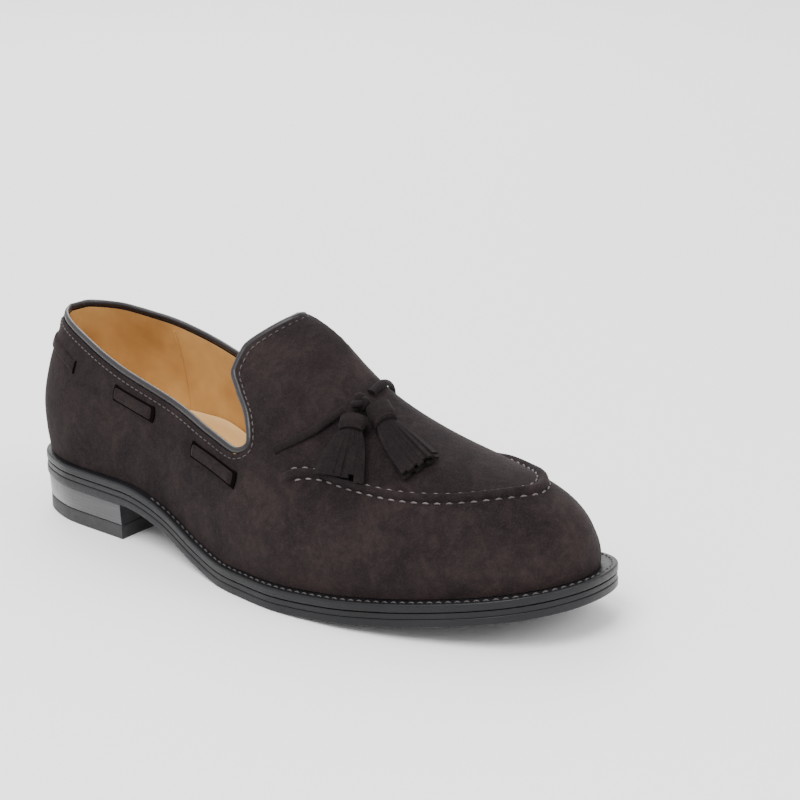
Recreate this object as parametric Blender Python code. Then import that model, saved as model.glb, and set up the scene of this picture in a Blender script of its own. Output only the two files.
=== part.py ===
"""Tassel loafer for the right foot, as its maker's pieces.

Metres, +Z up. The toe points along +X, the outer (lateral) side is -Y.
Lengths along the shoe start at the back of the sole until the last step, which
puts the origin under the middle of the whole shoe.
"""
import math

import bpy
import bmesh
from mathutils import Vector

# Driving sizes
SOLE_LENGTH = 0.300
BALL_WIDTH = 0.105
INSTEP_HEIGHT = 0.107
HEEL_LENGTH = 0.070
HEEL_HEIGHT = 0.0170
SEAT_FALL = 0.0006
LIFT_THICKNESS = 0.0061
OUTSOLE_THICKNESS = 0.0032
MIDSOLE_THICKNESS = 0.0022
WELT_THICKNESS = 0.0037
INSOLE_THICKNESS = 0.0030
UPPER_WALL = 0.0020
CLEARANCE = 0.0003

# Shape of the last
TREAD_START = 0.148
TOE_SPRING_START = 0.172
TOE_SPRING = 0.0155
TOE_SWING = 0.0086
BACK_INSET = 0.0015
TOE_INSET = 0.0050
RIDGE_HEIGHT = 0.0026
RIDGE_WIDTH = 0.0048

# Trim
BINDING_WIDTH = 0.0032
BINDING_HEIGHT = 0.0026
BINDING_GAP = 0.0004
LACE_WIDTH = 0.0050
LACE_THICKNESS = 0.0013
HEEL_TAB_WIDTH = 0.015
HEEL_TAB_HEIGHT = 0.0054
HEEL_TAB_DROP = 0.0022
HEEL_TAB_THICKNESS = 0.0012
CORD_DIAMETER = 0.0036
KNOT_DIAMETER = 0.0105
TASSEL_LENGTH = 0.036

LATERAL, MEDIAL = -1, 1

# Half breadth of the sole on each side of its centre line, as shares of the ball width
OUTLINE = (
    ("along", "lateral", "medial"),
    (0.000, 0.000, 0.000),
    (0.020, 0.178, 0.168),
    (0.060, 0.262, 0.250),
    (0.120, 0.310, 0.305),
    (0.220, 0.325, 0.322),
    (0.320, 0.348, 0.278),
    (0.420, 0.412, 0.252),
    (0.520, 0.485, 0.318),
    (0.620, 0.520, 0.420),
    (0.700, 0.512, 0.478),
    (0.780, 0.475, 0.480),
    (0.860, 0.410, 0.422),
    (0.930, 0.325, 0.348),
    (0.975, 0.213, 0.240),
    (1.000, 0.000, 0.000),
)

# How far the welt stands out past the upper, in metres
PROTRUSION = (
    ("along", "lateral", "medial"),
    (0.00, 0.0015, 0.0015),
    (0.12, 0.0028, 0.0028),
    (0.30, 0.0032, 0.0030),
    (0.50, 0.0040, 0.0030),
    (0.70, 0.0052, 0.0050),
    (1.00, 0.0050, 0.0050),
)

# Where the two walls of the upper meet or would meet above the foot, as shares of the
# instep height, and the two exponents of the section below that crest
SECTIONS = (
    ("along", "crest", "rise", "crown"),
    (0.00, 0.98, 2.0, 0.80),
    (0.10, 0.98, 2.0, 0.80),
    (0.22, 1.13, 2.0, 0.78),
    (0.36, 1.09, 2.0, 0.77),
    (0.47, 1.010, 2.0, 0.77),
    (0.50, 0.995, 2.0, 0.77),
    (0.54, 0.948, 2.0, 0.76),
    (0.58, 0.855, 2.0, 0.74),
    (0.62, 0.768, 2.0, 0.69),
    (0.68, 0.682, 2.0, 0.61),
    (0.75, 0.622, 2.0, 0.55),
    (0.82, 0.580, 2.0, 0.51),
    (0.88, 0.552, 2.0, 0.49),
    (1.00, 0.510, 2.0, 0.45),
)
CREST_ROUND = 0.012
TOE_CAP_START = 0.84
TOE_CAP_POWER = 2.6

# Profile of the upper's back over its height: how far it lies behind its foot, as shares
# of the heel height
BACK_CURVE = (
    ("up", "behind"),
    (0.00, 0.00),
    (0.15, 0.13),
    (0.35, 0.21),
    (0.60, 0.10),
    (0.80, -0.12),
    (1.00, -0.42),
)
BACK_CURVE_REACH = 0.24

# The topline from the back over a quarter and up the edge of the tab to its middle, as
# shares of the sole's length and of the instep height
RIM = (
    ("run", "along", "lateral", "medial"),
    (0.00, 0.026, 0.832, 0.832),
    (0.04, 0.036, 0.826, 0.838),
    (0.10, 0.078, 0.798, 0.840),
    (0.18, 0.150, 0.750, 0.808),
    (0.27, 0.220, 0.703, 0.756),
    (0.36, 0.293, 0.660, 0.715),
    (0.45, 0.360, 0.618, 0.674),
    (0.55, 0.432, 0.566, 0.622),
    (0.61, 0.480, 0.543, 0.595),
    (0.65, 0.500, 0.572, 0.618),
    (0.70, 0.484, 0.650, 0.680),
    (0.77, 0.452, 0.728, 0.748),
    (0.84, 0.430, 0.800, 0.812),
    (0.91, 0.434, 0.880, 0.886),
    (0.96, 0.460, 0.955, 0.957),
    (1.00, 0.484, 1.020, 1.020),
)

# Where each strip of the upper, numbered by its turn from back to toe, meets the topline
COLUMNS = (
    ("turn", "run"),
    (0.00, 0.00),
    (0.10, 0.04),
    (0.20, 0.12),
    (0.30, 0.25),
    (0.38, 0.42),
    (0.45, 0.550),
    (0.50, 0.603),
    (0.55, 0.645),
    (0.60, 0.688),
    (0.70, 0.780),
    (0.80, 0.868),
    (0.90, 0.940),
    (1.00, 1.000),
)

# The line that carries the apron seam on round the quarters
SIDE_LINE = (
    ("turn", "along", "up"),
    (0.00, 0.000, 0.54),
    (0.20, 0.092, 0.50),
    (0.30, 0.204, 0.46),
    (0.40, 0.340, 0.42),
    (0.50, 0.480, 0.42),
    (0.55, 0.540, 0.46),
    (0.58, 0.575, 0.50),
)
SEAM_TURN = 0.58
SEAM_FADE = 0.03
SEAM_START = 0.575
SEAM_TIP = 0.905
SEAM_BREADTH = 0.071
CREST_SHIFT = 0.0035
BULGE = 0.03
ROUND_END = 0.3

# Rows of points up a strip: shares of the way to the seam, places across the seam's ridge
# with their lift, and shares of the way on to the topline
LOWER_RINGS = (0.0, 0.14, 0.30, 0.48, 0.66, 0.84)
RIDGE_RINGS = ((-0.5, 0.0), (-0.27, 0.75), (0.0, 1.0), (0.27, 0.75), (0.5, 0.0))
UPPER_RINGS = (0.12, 0.26, 0.42, 0.58, 0.74, 0.88, 1.0)
LOOP_POINTS = 84

# Inside of the last, from which its face is looked for
SPINE_BACK = 0.12
SPINE_FRONT = 0.85
SPINE_RISE = 0.014

# Sole and heel details
EDGE_STEP = 0.0005
WELT_SHELF = 0.0022
HEEL_TAPER = 0.0012
BREAST_HOLLOW = 0.003
HEEL_STEPS = 14
BREAST_STEPS = 8
BINDING_SIDES = 6
RIM_STEP = 0.004

# Laces, as shares of the sole's length and of the instep height
QUARTER_BARS = (
    ("front", (0.394, 0.480), (0.496, 0.430)),
    ("back", (0.213, 0.600), (0.296, 0.558)),
)
MEDIAL_RAISE = 0.025
BAR_STEPS = 7
HEEL_BAR_UP = 0.705
HEEL_BAR_DROP = 0.050
HEEL_BAR_ANGLE = math.radians(82)
HEEL_BAR_STEPS = 18
HEEL_TAB_STEPS = 6

# Routes over the vamp: along, out to the medial side, and height of the middle line over
# the suede, in metres
VAMP_LACES = {
    "lateral": ((0.1690, -0.0285, 0.0030), (0.1745, -0.0215, 0.0037),
                (0.1795, -0.0145, 0.0044), (0.1836, -0.0092, 0.0048)),
    "medial": ((0.1690, 0.0335, 0.0030), (0.1745, 0.0255, 0.0028),
               (0.1810, 0.0135, 0.0028), (0.1862, 0.0040, 0.0040)),
}
KNOT_PLACE = (0.1885, -0.0032)
TASSEL_ROUTES = {
    "lateral": ((0.1925, -0.0095), (0.1965, -0.0170), (0.2020, -0.0250)),
    "medial": ((0.1955, -0.0010), (0.2100, -0.0055), (0.2280, -0.0110)),
}

# Half breadth and half thickness down a tassel, as shares of its length
TASSEL_FORM = (
    ("down", "breadth", "thickness"),
    (0.00, 0.100, 0.085),
    (0.03, 0.140, 0.115),
    (0.24, 0.150, 0.120),
    (0.28, 0.130, 0.105),
    (0.34, 0.165, 0.115),
    (0.60, 0.250, 0.095),
    (1.00, 0.335, 0.075),
)
TASSEL_RINGS = 12
TASSEL_STRIPS = 6
STRIP_POINTS = 4
STRIP_DEPTH = 0.24

SUEDE_COLOUR = (0.055, 0.040, 0.040)
LACE_COLOUR = (0.040, 0.030, 0.030)
BINDING_COLOUR = (0.110, 0.100, 0.105)
EDGE_COLOUR = (0.018, 0.018, 0.020)
SOCK_COLOUR = (0.620, 0.430, 0.230)


def smooth(rows, column, at):
    """Value of a named column at a place, on a smooth curve through the rows."""
    names, *data = rows
    k = names.index(column)
    xs = [row[0] for row in data]
    ys = [row[k] for row in data]
    at = min(max(at, xs[0]), xs[-1])
    i = max(j for j in range(len(xs) - 1) if xs[j] <= at)

    def slope(j):
        if 0 < j < len(xs) - 1:
            before = (ys[j] - ys[j - 1]) / (xs[j] - xs[j - 1])
            after = (ys[j + 1] - ys[j]) / (xs[j + 1] - xs[j])
            if before * after <= 0:
                return 0.0
            return 2 * before * after / (before + after)
        j = min(max(j, 1), len(xs) - 1)
        return (ys[j] - ys[j - 1]) / (xs[j] - xs[j - 1])

    step = xs[i + 1] - xs[i]
    t = (at - xs[i]) / step
    a, b = slope(i) * step, slope(i + 1) * step
    return (ys[i] * (1 + 2 * t) * (1 - t) ** 2 + a * t * (1 - t) ** 2
            + ys[i + 1] * t * t * (3 - 2 * t) - b * t * t * (1 - t))


def breadth(side, share):
    """Half breadth of the sole outline; its ends are round, so it is read over an angle."""
    names, *data = OUTLINE
    turned = [names] + [(math.acos(1 - 2 * row[0]), *row[1:]) for row in data]
    share = min(max(share, 0.0), 1.0)
    column = "lateral" if side == LATERAL else "medial"
    return BALL_WIDTH * smooth(turned, column, math.acos(1 - 2 * share))


def centre(x):
    return TOE_SWING * (x / SOLE_LENGTH) ** 2


def underside(x):
    """Height of the outsole's underside above the floor."""
    breast = HEEL_HEIGHT - SEAT_FALL
    if x <= HEEL_LENGTH:
        return HEEL_HEIGHT - SEAT_FALL * x / HEEL_LENGTH
    if x < TREAD_START:
        t = (x - HEEL_LENGTH) / (TREAD_START - HEEL_LENGTH)
        return breast * (1 - t * t * (3 - 2 * t))
    t = max(0.0, (x - TOE_SPRING_START) / (SOLE_LENGTH - TOE_SPRING_START))
    return TOE_SPRING * t ** 1.7


def midsole_foot(x):
    return underside(x) + OUTSOLE_THICKNESS + CLEARANCE


def welt_foot(x):
    return midsole_foot(x) + MIDSOLE_THICKNESS + CLEARANCE


def welt_top(x):
    return welt_foot(x) + WELT_THICKNESS


def feather(side, x):
    """Half breadth of the upper where it meets the welt."""
    share = (x - BACK_INSET) / (SOLE_LENGTH - TOE_INSET - BACK_INSET)
    if not 0 < share < 1:
        return 0.0
    half = breadth(side, share)
    column = "lateral" if side == LATERAL else "medial"
    inset = smooth(PROTRUSION, column, x / SOLE_LENGTH)
    round_end = 1 - (1 - min(1.0, half / (ROUND_END * BALL_WIDTH))) ** 2
    return half - inset * round_end


def loop(count, start, end, half_at):
    """Plan points of a closed outline, from the back along the lateral side."""
    points = []
    for i in range(count):
        angle = 2 * math.pi * i / count
        x = start + (end - start) * (1 - math.cos(angle)) / 2
        side = LATERAL if angle < math.pi else MEDIAL
        points.append(Vector((x, centre(x) + side * half_at(side, x), 0)))
    return points


def sole_loop(inset=0.0):
    points = loop(LOOP_POINTS, 0.0, SOLE_LENGTH, lambda side, x: breadth(side, x / SOLE_LENGTH))
    return inward(points, inset)


def feather_loop(inset=0.0):
    points = loop(LOOP_POINTS, BACK_INSET, SOLE_LENGTH - TOE_INSET, feather)
    return inward(points, inset)


def inward(points, distance):
    """The outline moved in by a distance, square to itself."""
    moved = []
    for i, point in enumerate(points):
        along = points[(i + 1) % len(points)] - points[i - 1]
        moved.append(point + Vector((-along.y, along.x, 0)).normalized() * distance)
    return moved


def at_height(points, height):
    return [Vector((p.x, p.y, height(p.x))) for p in points]


def crest(x):
    """Height where the walls of the upper meet, round over the toe."""
    foot = welt_top(x) + CLEARANCE
    top = INSTEP_HEIGHT * smooth(SECTIONS, "crest", x / SOLE_LENGTH)
    start = TOE_CAP_START * SOLE_LENGTH
    t = (x - start) / (SOLE_LENGTH - TOE_INSET - start)
    if t <= 0:
        return top
    return foot + (top - foot) * max(0.0, 1 - t ** TOE_CAP_POWER) ** (1 / TOE_CAP_POWER)


def wall(side, x, z):
    """Half breadth of the upper's outer face at a height, below zero where there is none."""
    foot = welt_top(x) + CLEARANCE
    head, below = crest(x) - foot, crest(x) - z
    if head <= 0 or below <= 0:
        return -1.0
    rise = smooth(SECTIONS, "rise", x / SOLE_LENGTH)
    crown = smooth(SECTIONS, "crown", x / SOLE_LENGTH)
    rounding = CREST_ROUND * max(0.0, 2 * crown - 1)
    up = max(0.0, 1 - math.sqrt(below * (below + rounding)) / head)
    back_up = (z - foot) / (RIM[1][2] * INSTEP_HEIGHT - foot)
    reach = max(0.0, 1 - x / (BACK_CURVE_REACH * SOLE_LENGTH))
    behind = HEEL_HEIGHT * smooth(BACK_CURVE, "behind", back_up) * min(1.0, reach) ** 2
    half = feather(side, x + behind)
    swell = 1 + BULGE * math.sin(math.pi * min(1.0, up / 0.5))
    return half * swell * (1 - up ** rise) ** crown


def section_centre(x, z):
    foot = welt_top(x)
    up = min(max((z - foot) / (INSTEP_HEIGHT - foot), 0.0), 1.0)
    return centre(x) + CREST_SHIFT * up * min(1.0, x / (0.5 * SOLE_LENGTH))


def inside(p):
    off = p.y - section_centre(p.x, p.z)
    return abs(off) < wall(LATERAL if off < 0 else MEDIAL, p.x, p.z)


def spine(x):
    x = min(max(x, SPINE_BACK * SOLE_LENGTH), SPINE_FRONT * SOLE_LENGTH)
    return Vector((x, centre(x), welt_top(x) + SPINE_RISE))


def on_last(guide):
    """The point of the upper's outer face that a guide point lies in line with."""
    start = spine(guide.x)
    way = (guide - start).normalized()
    near, far = 0.0, INSTEP_HEIGHT * 1.5
    for _ in range(34):
        middle = (near + far) / 2
        if inside(start + way * middle):
            near = middle
        else:
            far = middle
    return start + way * near


def side_point(side, x, z):
    return Vector((x, section_centre(x, z) + side * max(0.0, wall(side, x, z)), z))


def face_out(side, x, z):
    """Outward direction of the upper's outer face."""
    near = CLEARANCE
    along = side_point(side, x + near, z) - side_point(side, x - near, z)
    up = side_point(side, x, z + near) - side_point(side, x, z - near)
    return along.cross(up).normalized() * -side


def rim_guide(side, run):
    """A point on the topline; past either end it goes on down the other side."""
    if not 0 <= run <= 1:
        side, run = -side, -run if run < 0 else 2 - run
    column = "lateral" if side == LATERAL else "medial"
    x = SOLE_LENGTH * smooth(RIM, "along", run)
    z = INSTEP_HEIGHT * smooth(RIM, column, run)
    return side_point(side, x, min(z, crest(x)))


def seam_guide(side, turn):
    """A point on the apron seam, or on the line that carries it on round the quarters."""
    if turn < SEAM_TURN:
        x = SOLE_LENGTH * smooth(SIDE_LINE, "along", turn)
        return side_point(side, x, INSTEP_HEIGHT * smooth(SIDE_LINE, "up", turn))
    angle = math.pi / 2 * (turn - SEAM_TURN) / (1 - SEAM_TURN)
    reach = math.sin(angle)
    x = SOLE_LENGTH * (SEAM_START + (SEAM_TIP - SEAM_START) * reach)
    out = SEAM_BREADTH / 2 * max(0.0, 1 - reach ** 2.2) ** 0.58
    low, high = welt_top(x) + CLEARANCE, crest(x)
    for _ in range(30):
        z = (low + high) / 2
        if wall(side, x, z) > out:
            low = z
        else:
            high = z
    return Vector((x, section_centre(x, z) + side * out, z))


def column_points(side, turn):
    """One strip of the upper from the welt to the topline, with how far each point is
    raised by the seam."""
    angle = math.pi * turn
    end = SOLE_LENGTH - TOE_INSET
    x = BACK_INSET + (end - BACK_INSET) * (1 - math.cos(angle)) / 2
    foot = Vector((x, centre(x) + side * feather(side, x), welt_top(x) + CLEARANCE))
    seam = seam_guide(side, turn)
    run = smooth(COLUMNS, "run", turn)
    rim = rim_guide(side, run)
    along_rim = rim_guide(side, run + RIM_STEP) - rim_guide(side, run - RIM_STEP)
    off_rim = face_out(side, rim.x, rim.z).cross(along_rim).normalized() * side
    rim += off_rim * (BINDING_HEIGHT + BINDING_GAP)
    down, up = (foot - seam).normalized(), (rim - seam).normalized()
    raised = RIDGE_HEIGHT * min(1.0, max(0.0, (turn - SEAM_TURN) / SEAM_FADE))
    guides = [(foot.lerp(seam, share), 0.0) for share in LOWER_RINGS]
    for across, lift in RIDGE_RINGS:
        way = down if across < 0 else up
        guides.append((seam + way * abs(across) * RIDGE_WIDTH, raised * lift))
    start = seam + up * RIDGE_RINGS[-1][0] * RIDGE_WIDTH
    guides += [(start.lerp(rim, share), 0.0) for share in UPPER_RINGS]
    points = [(foot, 0.0)] + [(on_last(guide), lift) for guide, lift in guides[1:]]
    return points


def upper_grid():
    """Columns of outer face points and their seam lift, round the shoe from the back."""
    half = LOOP_POINTS // 2
    lateral = [column_points(LATERAL, i / half) for i in range(half + 1)]
    medial = [column_points(MEDIAL, i / half) for i in range(half - 1, 0, -1)]
    return lateral + medial


def grid_normals(columns, closed=True):
    """Outward directions at each point of a grid of columns."""
    count, rings = len(columns), len(columns[0])
    normals = []
    for i in range(count):
        after = columns[(i + 1) % count] if closed else columns[min(i + 1, count - 1)]
        before = columns[i - 1] if closed else columns[max(i - 1, 0)]
        row = []
        for j in range(rings):
            along = after[j] - before[j]
            up = columns[i][min(j + 1, rings - 1)] - columns[i][max(j - 1, 0)]
            row.append(along.cross(up).normalized())
        normals.append(row)
    return normals


def new_object(name, points, faces, colour, roughness):
    """A smooth-shaded object of its own material from points and faces."""
    mesh = bpy.data.meshes.new(name)
    mesh.from_pydata([tuple(p) for p in points], [], faces)
    checked = bmesh.new()
    checked.from_mesh(mesh)
    bmesh.ops.recalc_face_normals(checked, faces=checked.faces)
    checked.to_mesh(mesh)
    checked.free()
    mesh.shade_smooth()
    mesh.set_sharp_from_angle(angle=math.radians(40))
    mesh.materials.append(new_material(name, colour, roughness))
    item = bpy.data.objects.new(name, mesh)
    bpy.context.collection.objects.link(item)
    return item


def new_material(name, colour, roughness):
    material = bpy.data.materials.new(name)
    material.use_nodes = True
    surface = material.node_tree.nodes["Principled BSDF"]
    surface.inputs["Base Color"].default_value = (*colour, 1)
    surface.inputs["Roughness"].default_value = roughness
    surface.inputs["Metallic"].default_value = 0.0
    return material


def bands(rings, closed):
    """Faces between rings of points, from the first ring to the last and, where closed,
    back to the first."""
    count = len(rings[0])
    faces = []
    for k in range(len(rings) if closed else len(rings) - 1):
        a, b = k * count, ((k + 1) % len(rings)) * count
        for i in range(count):
            j = (i + 1) % count
            faces.append((a + i, a + j, b + j, b + i))
    return faces


def ladder(first, count):
    """Faces across an outline, from its lateral points to its medial ones."""
    faces = [(first, first + 1, first + count - 1)]
    half = count // 2
    for i in range(1, half - 1):
        faces.append((first + i, first + i + 1, first + count - i - 1, first + count - i))
    faces.append((first + half - 1, first + half, first + half + 1))
    return faces


def slab(name, rings, colour, roughness):
    """A closed solid through rings from the bottom to the top."""
    count = len(rings[0])
    faces = bands(rings, closed=False)
    faces += [tuple(reversed(face)) for face in ladder(0, count)]
    faces += ladder(count * (len(rings) - 1), count)
    return new_object(name, sum(rings, []), faces, colour, roughness)


def collar(name, rings, colour, roughness):
    """A closed solid round a hole, through rings round its wall."""
    return new_object(name, sum(rings, []), bands(rings, closed=True), colour, roughness)


def make_outsole():
    edge = OUTSOLE_THICKNESS / 4
    rings = [
        at_height(sole_loop(edge), underside),
        at_height(sole_loop(), lambda x: underside(x) + edge),
        at_height(sole_loop(), lambda x: underside(x) + OUTSOLE_THICKNESS),
    ]
    return slab("outsole", rings, EDGE_COLOUR, 0.35)


def make_midsole():
    rings = [
        at_height(sole_loop(EDGE_STEP), midsole_foot),
        at_height(sole_loop(EDGE_STEP), lambda x: midsole_foot(x) + MIDSOLE_THICKNESS),
    ]
    return slab("midsole", rings, EDGE_COLOUR, 0.45)


def make_welt():
    edge = WELT_THICKNESS / 3
    under = UPPER_WALL + WELT_SHELF
    rings = [
        at_height(feather_loop(under), welt_foot),
        at_height(sole_loop(edge / 2), welt_foot),
        at_height(sole_loop(), lambda x: welt_foot(x) + edge),
        at_height(sole_loop(), lambda x: welt_top(x) - edge),
        at_height(sole_loop(edge), welt_top),
        at_height(feather_loop(under), welt_top),
    ]
    return collar("welt", rings, EDGE_COLOUR, 0.3)


def make_insole():
    """The insole board and its filler, which fills the hole of the welt."""
    filler = UPPER_WALL + WELT_SHELF + CLEARANCE
    board = UPPER_WALL + 2 * CLEARANCE
    over_welt = lambda x: welt_top(x) + CLEARANCE
    rings = [
        at_height(feather_loop(filler), welt_foot),
        at_height(feather_loop(filler), over_welt),
        at_height(feather_loop(board), over_welt),
        at_height(feather_loop(board), lambda x: over_welt(x) + INSOLE_THICKNESS),
    ]
    return slab("insole", rings, SOCK_COLOUR, 0.6)


def heel_ring(inset, height):
    """Outline of the heel: the sole's own edge, closed by a hollow breast."""
    points = []
    steps = [i / HEEL_STEPS for i in range(HEEL_STEPS + 1)]
    for side in (LATERAL, MEDIAL):
        edge = []
        for step in steps:
            x = HEEL_LENGTH * (1 - math.cos(step * math.pi / 2))
            narrow = 1 - 2 * inset / HEEL_LENGTH
            y = centre(x) + side * breadth(side, x / SOLE_LENGTH) * narrow
            edge.append(Vector((inset + x * (1 - inset / HEEL_LENGTH), y, 0)))
        points.append(edge)
    lateral, medial = points
    breast = []
    for i in range(1, BREAST_STEPS):
        share = i / BREAST_STEPS
        middle = lateral[-1].lerp(medial[-1], share)
        middle.x -= BREAST_HOLLOW * 4 * share * (1 - share)
        breast.append(middle)
    outline = lateral + breast + medial[:0:-1]
    return [Vector((p.x, p.y, height(p.x))) for p in outline]


def heel_piece(name, rings, roughness):
    count = len(rings[0])
    faces = bands(rings, closed=False)
    faces.append(tuple(range(count - 1, -1, -1)))
    faces.append(tuple(range(count * (len(rings) - 1), count * len(rings))))
    return new_object(name, sum(rings, []), faces, EDGE_COLOUR, roughness)


def make_heel():
    under_sole = lambda x: underside(x) - CLEARANCE
    above_lift = lambda x: LIFT_THICKNESS + CLEARANCE
    stack = [heel_ring(HEEL_TAPER, above_lift), heel_ring(HEEL_TAPER / 2, under_sole)]
    lift = [heel_ring(HEEL_TAPER, lambda x: height) for height in (0.0, LIFT_THICKNESS)]
    heel_piece("heel_stack", stack, 0.35)
    heel_piece("top_lift", lift, 0.7)


def shell_points(grid):
    """Outer and inner face points of the upper, column by column."""
    base = [[point for point, _ in column] for column in grid]
    normals = grid_normals(base)
    outer, inner = [], []
    for column, row in zip(grid, normals):
        outer.append([point + n * lift for (point, lift), n in zip(column, row)])
        within = [point - n * UPPER_WALL for (point, _), n in zip(column, row)]
        level = Vector((row[0].x, row[0].y, 0)).normalized()
        within[0] = column[0][0] - level * UPPER_WALL
        inner.append(within)
    return outer, inner, normals


def make_upper(grid):
    outer, inner, _ = shell_points(grid)
    rings = len(outer[0])
    loops = [[column[j] for column in outer] for j in range(rings)]
    loops += [[column[j] for column in inner] for j in range(rings - 1, -1, -1)]
    return collar("upper", loops, SUEDE_COLOUR, 0.95)


def make_binding(grid):
    """The piped edge, seated on the upper's rim all the way round."""
    outer, inner, normals = shell_points(grid)
    edge = [(top[-1] + within[-1]) / 2 for top, within in zip(outer, inner)]
    rings = [[] for _ in range(BINDING_SIDES)]
    for i, row in enumerate(normals):
        along = (edge[(i + 1) % len(edge)] - edge[i - 1]).normalized()
        off_edge = row[-1].cross(along).normalized()
        middle = edge[i] + off_edge * (BINDING_GAP + BINDING_HEIGHT / 2)
        for k in range(BINDING_SIDES):
            angle = 2 * math.pi * k / BINDING_SIDES + math.pi / BINDING_SIDES
            out = row[-1] * math.cos(angle) * BINDING_WIDTH / 2
            rings[k].append(middle + out + off_edge * math.sin(angle) * BINDING_HEIGHT / 2)
    return collar("collar_binding", rings, BINDING_COLOUR, 0.4)


def make_patch(name, guides, thickness):
    """A strip of suede that lies on the upper, through rows of guide points."""
    face = [[on_last(guide) for guide in row] for row in guides]
    normals = grid_normals(face, closed=False)
    if normals[0][0].dot(face[0][0] - spine(face[0][0].x)) < 0:
        normals = [[-n for n in row] for row in normals]
    rows, rings = len(face), len(face[0])
    points, faces = [], []
    for height in (CLEARANCE, CLEARANCE + thickness):
        for row, out in zip(face, normals):
            points += [p + n * height for p, n in zip(row, out)]
    layer_size = rows * rings
    for i in range(rows - 1):
        for j in range(rings - 1):
            a, b = i * rings + j, (i + 1) * rings + j
            faces.append((a, a + 1, b + 1, b))
            faces.append((layer_size + a, layer_size + b, layer_size + b + 1, layer_size + a + 1))
    border = [i * rings for i in range(rows)]
    border += [(rows - 1) * rings + j for j in range(1, rings)]
    border += [i * rings + rings - 1 for i in range(rows - 2, -1, -1)]
    border += [j for j in range(rings - 2, 0, -1)]
    for a, b in zip(border, border[1:] + border[:1]):
        faces.append((a, b, layer_size + b, layer_size + a))
    return new_object(name, points, faces, LACE_COLOUR, 0.95)


def quarter_bar(name, side, start, end):
    """A stretch of the collar lace on a quarter, between two of its slots."""
    guides = []
    for i in range(BAR_STEPS + 1):
        share = i / BAR_STEPS
        x = SOLE_LENGTH * (start[0] + (end[0] - start[0]) * share)
        z = INSTEP_HEIGHT * (start[1] + (end[1] - start[1]) * share)
        guides.append([side_point(side, x, z + across * LACE_WIDTH) for across in (0.5, 0, -0.5)])
    return make_patch(name, guides, LACE_THICKNESS)


def make_laces():
    for side, word in ((LATERAL, "lateral"), (MEDIAL, "medial")):
        raised = MEDIAL_RAISE if side == MEDIAL else 0.0
        for place, start, end in QUARTER_BARS:
            quarter_bar(f"lace_bar_{place}_{word}", side,
                        (start[0], start[1] + raised), (end[0], end[1] + raised))
    guides = []
    for i in range(HEEL_BAR_STEPS + 1):
        angle = HEEL_BAR_ANGLE * (2 * i / HEEL_BAR_STEPS - 1)
        middle = INSTEP_HEIGHT * (HEEL_BAR_UP - HEEL_BAR_DROP * (angle / HEEL_BAR_ANGLE) ** 2)
        hub = spine(0.0)
        away = Vector((-math.cos(angle), math.sin(angle), 0)) * HEEL_LENGTH
        guides.append([Vector((hub.x + away.x, hub.y + away.y, hub.z + lift))
                       for lift in ray_lifts(hub, away, middle)])
    make_patch("lace_bar_heel", guides, LACE_THICKNESS)


def ray_lifts(hub, away, middle):
    """How much higher than the hub far guide points lie, for a band at a given height."""
    lifts = []
    for across in (-0.5, 0, 0.5):
        z = middle + across * LACE_WIDTH
        rise = z - hub.z
        for _ in range(6):
            found = on_last(hub + Vector((away.x, away.y, rise)))
            rise += (z - found.z) * 1.2
        lifts.append(rise)
    return lifts


def make_heel_tab():
    hub = spine(0.0)
    top = INSTEP_HEIGHT * RIM[1][2] - BINDING_HEIGHT - HEEL_TAB_DROP
    guides = []
    for i in range(HEEL_TAB_STEPS + 1):
        y = HEEL_TAB_WIDTH * (i / HEEL_TAB_STEPS - 0.5)
        row = []
        for j in range(HEEL_TAB_STEPS + 1):
            z = top - HEEL_TAB_HEIGHT * (1 - j / HEEL_TAB_STEPS)
            rise, out = z - hub.z, y
            for _ in range(8):
                found = on_last(hub + Vector((-HEEL_LENGTH, out, rise)))
                rise += (z - found.z) * 1.2
                out += (y - found.y) * 1.2
            row.append(hub + Vector((-HEEL_LENGTH, out, rise)))
        guides.append(row)
    return make_patch("heel_tab", guides, HEEL_TAB_THICKNESS)


def smooth_route(points, spacing):
    """Points a spacing apart on a smooth curve through the route's own points."""
    padded = [points[0] * 2 - points[1]] + points + [points[-1] * 2 - points[-2]]
    fine = []
    for a, b, c, d in zip(padded, padded[1:], padded[2:], padded[3:]):
        for k in range(20):
            t = k / 20
            fine.append(0.5 * (2 * b + (c - a) * t + (2 * a - 5 * b + 4 * c - d) * t * t
                               + (3 * b - a - 3 * c + d) * t ** 3))
    fine.append(points[-1])
    length = sum((q - p).length for p, q in zip(fine, fine[1:]))
    count = max(2, round(length / spacing))
    route, walked, step = [fine[0]], 0.0, length / count
    for p, q in zip(fine, fine[1:]):
        span = (q - p).length
        while len(route) < count and walked + span >= step * len(route):
            route.append(p.lerp(q, (step * len(route) - walked) / span))
        walked += span
    route.append(fine[-1])
    return route


def make_cord(name, points, diameter):
    curve = bpy.data.curves.new(name, "CURVE")
    curve.dimensions = "3D"
    curve.bevel_depth = diameter / 2
    curve.bevel_resolution = 2
    curve.use_fill_caps = True
    route = smooth_route(points, 2 * diameter)
    line = curve.splines.new("POLY")
    line.points.add(len(route) - 1)
    for spot, point in zip(line.points, route):
        spot.co = (*point, 1)
    curve.materials.append(new_material(name, LACE_COLOUR, 0.95))
    item = bpy.data.objects.new(name, curve)
    bpy.context.collection.objects.link(item)
    return item


def over_upper(x, y, height):
    """A point a height above the upper's top face."""
    low, high = welt_top(x), crest(x)
    off = y - section_centre(x, high)
    side = LATERAL if off < 0 else MEDIAL
    for _ in range(30):
        z = (low + high) / 2
        if wall(side, x, z) > abs(off):
            low = z
        else:
            high = z
    return Vector((x, y, z + height))


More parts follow.
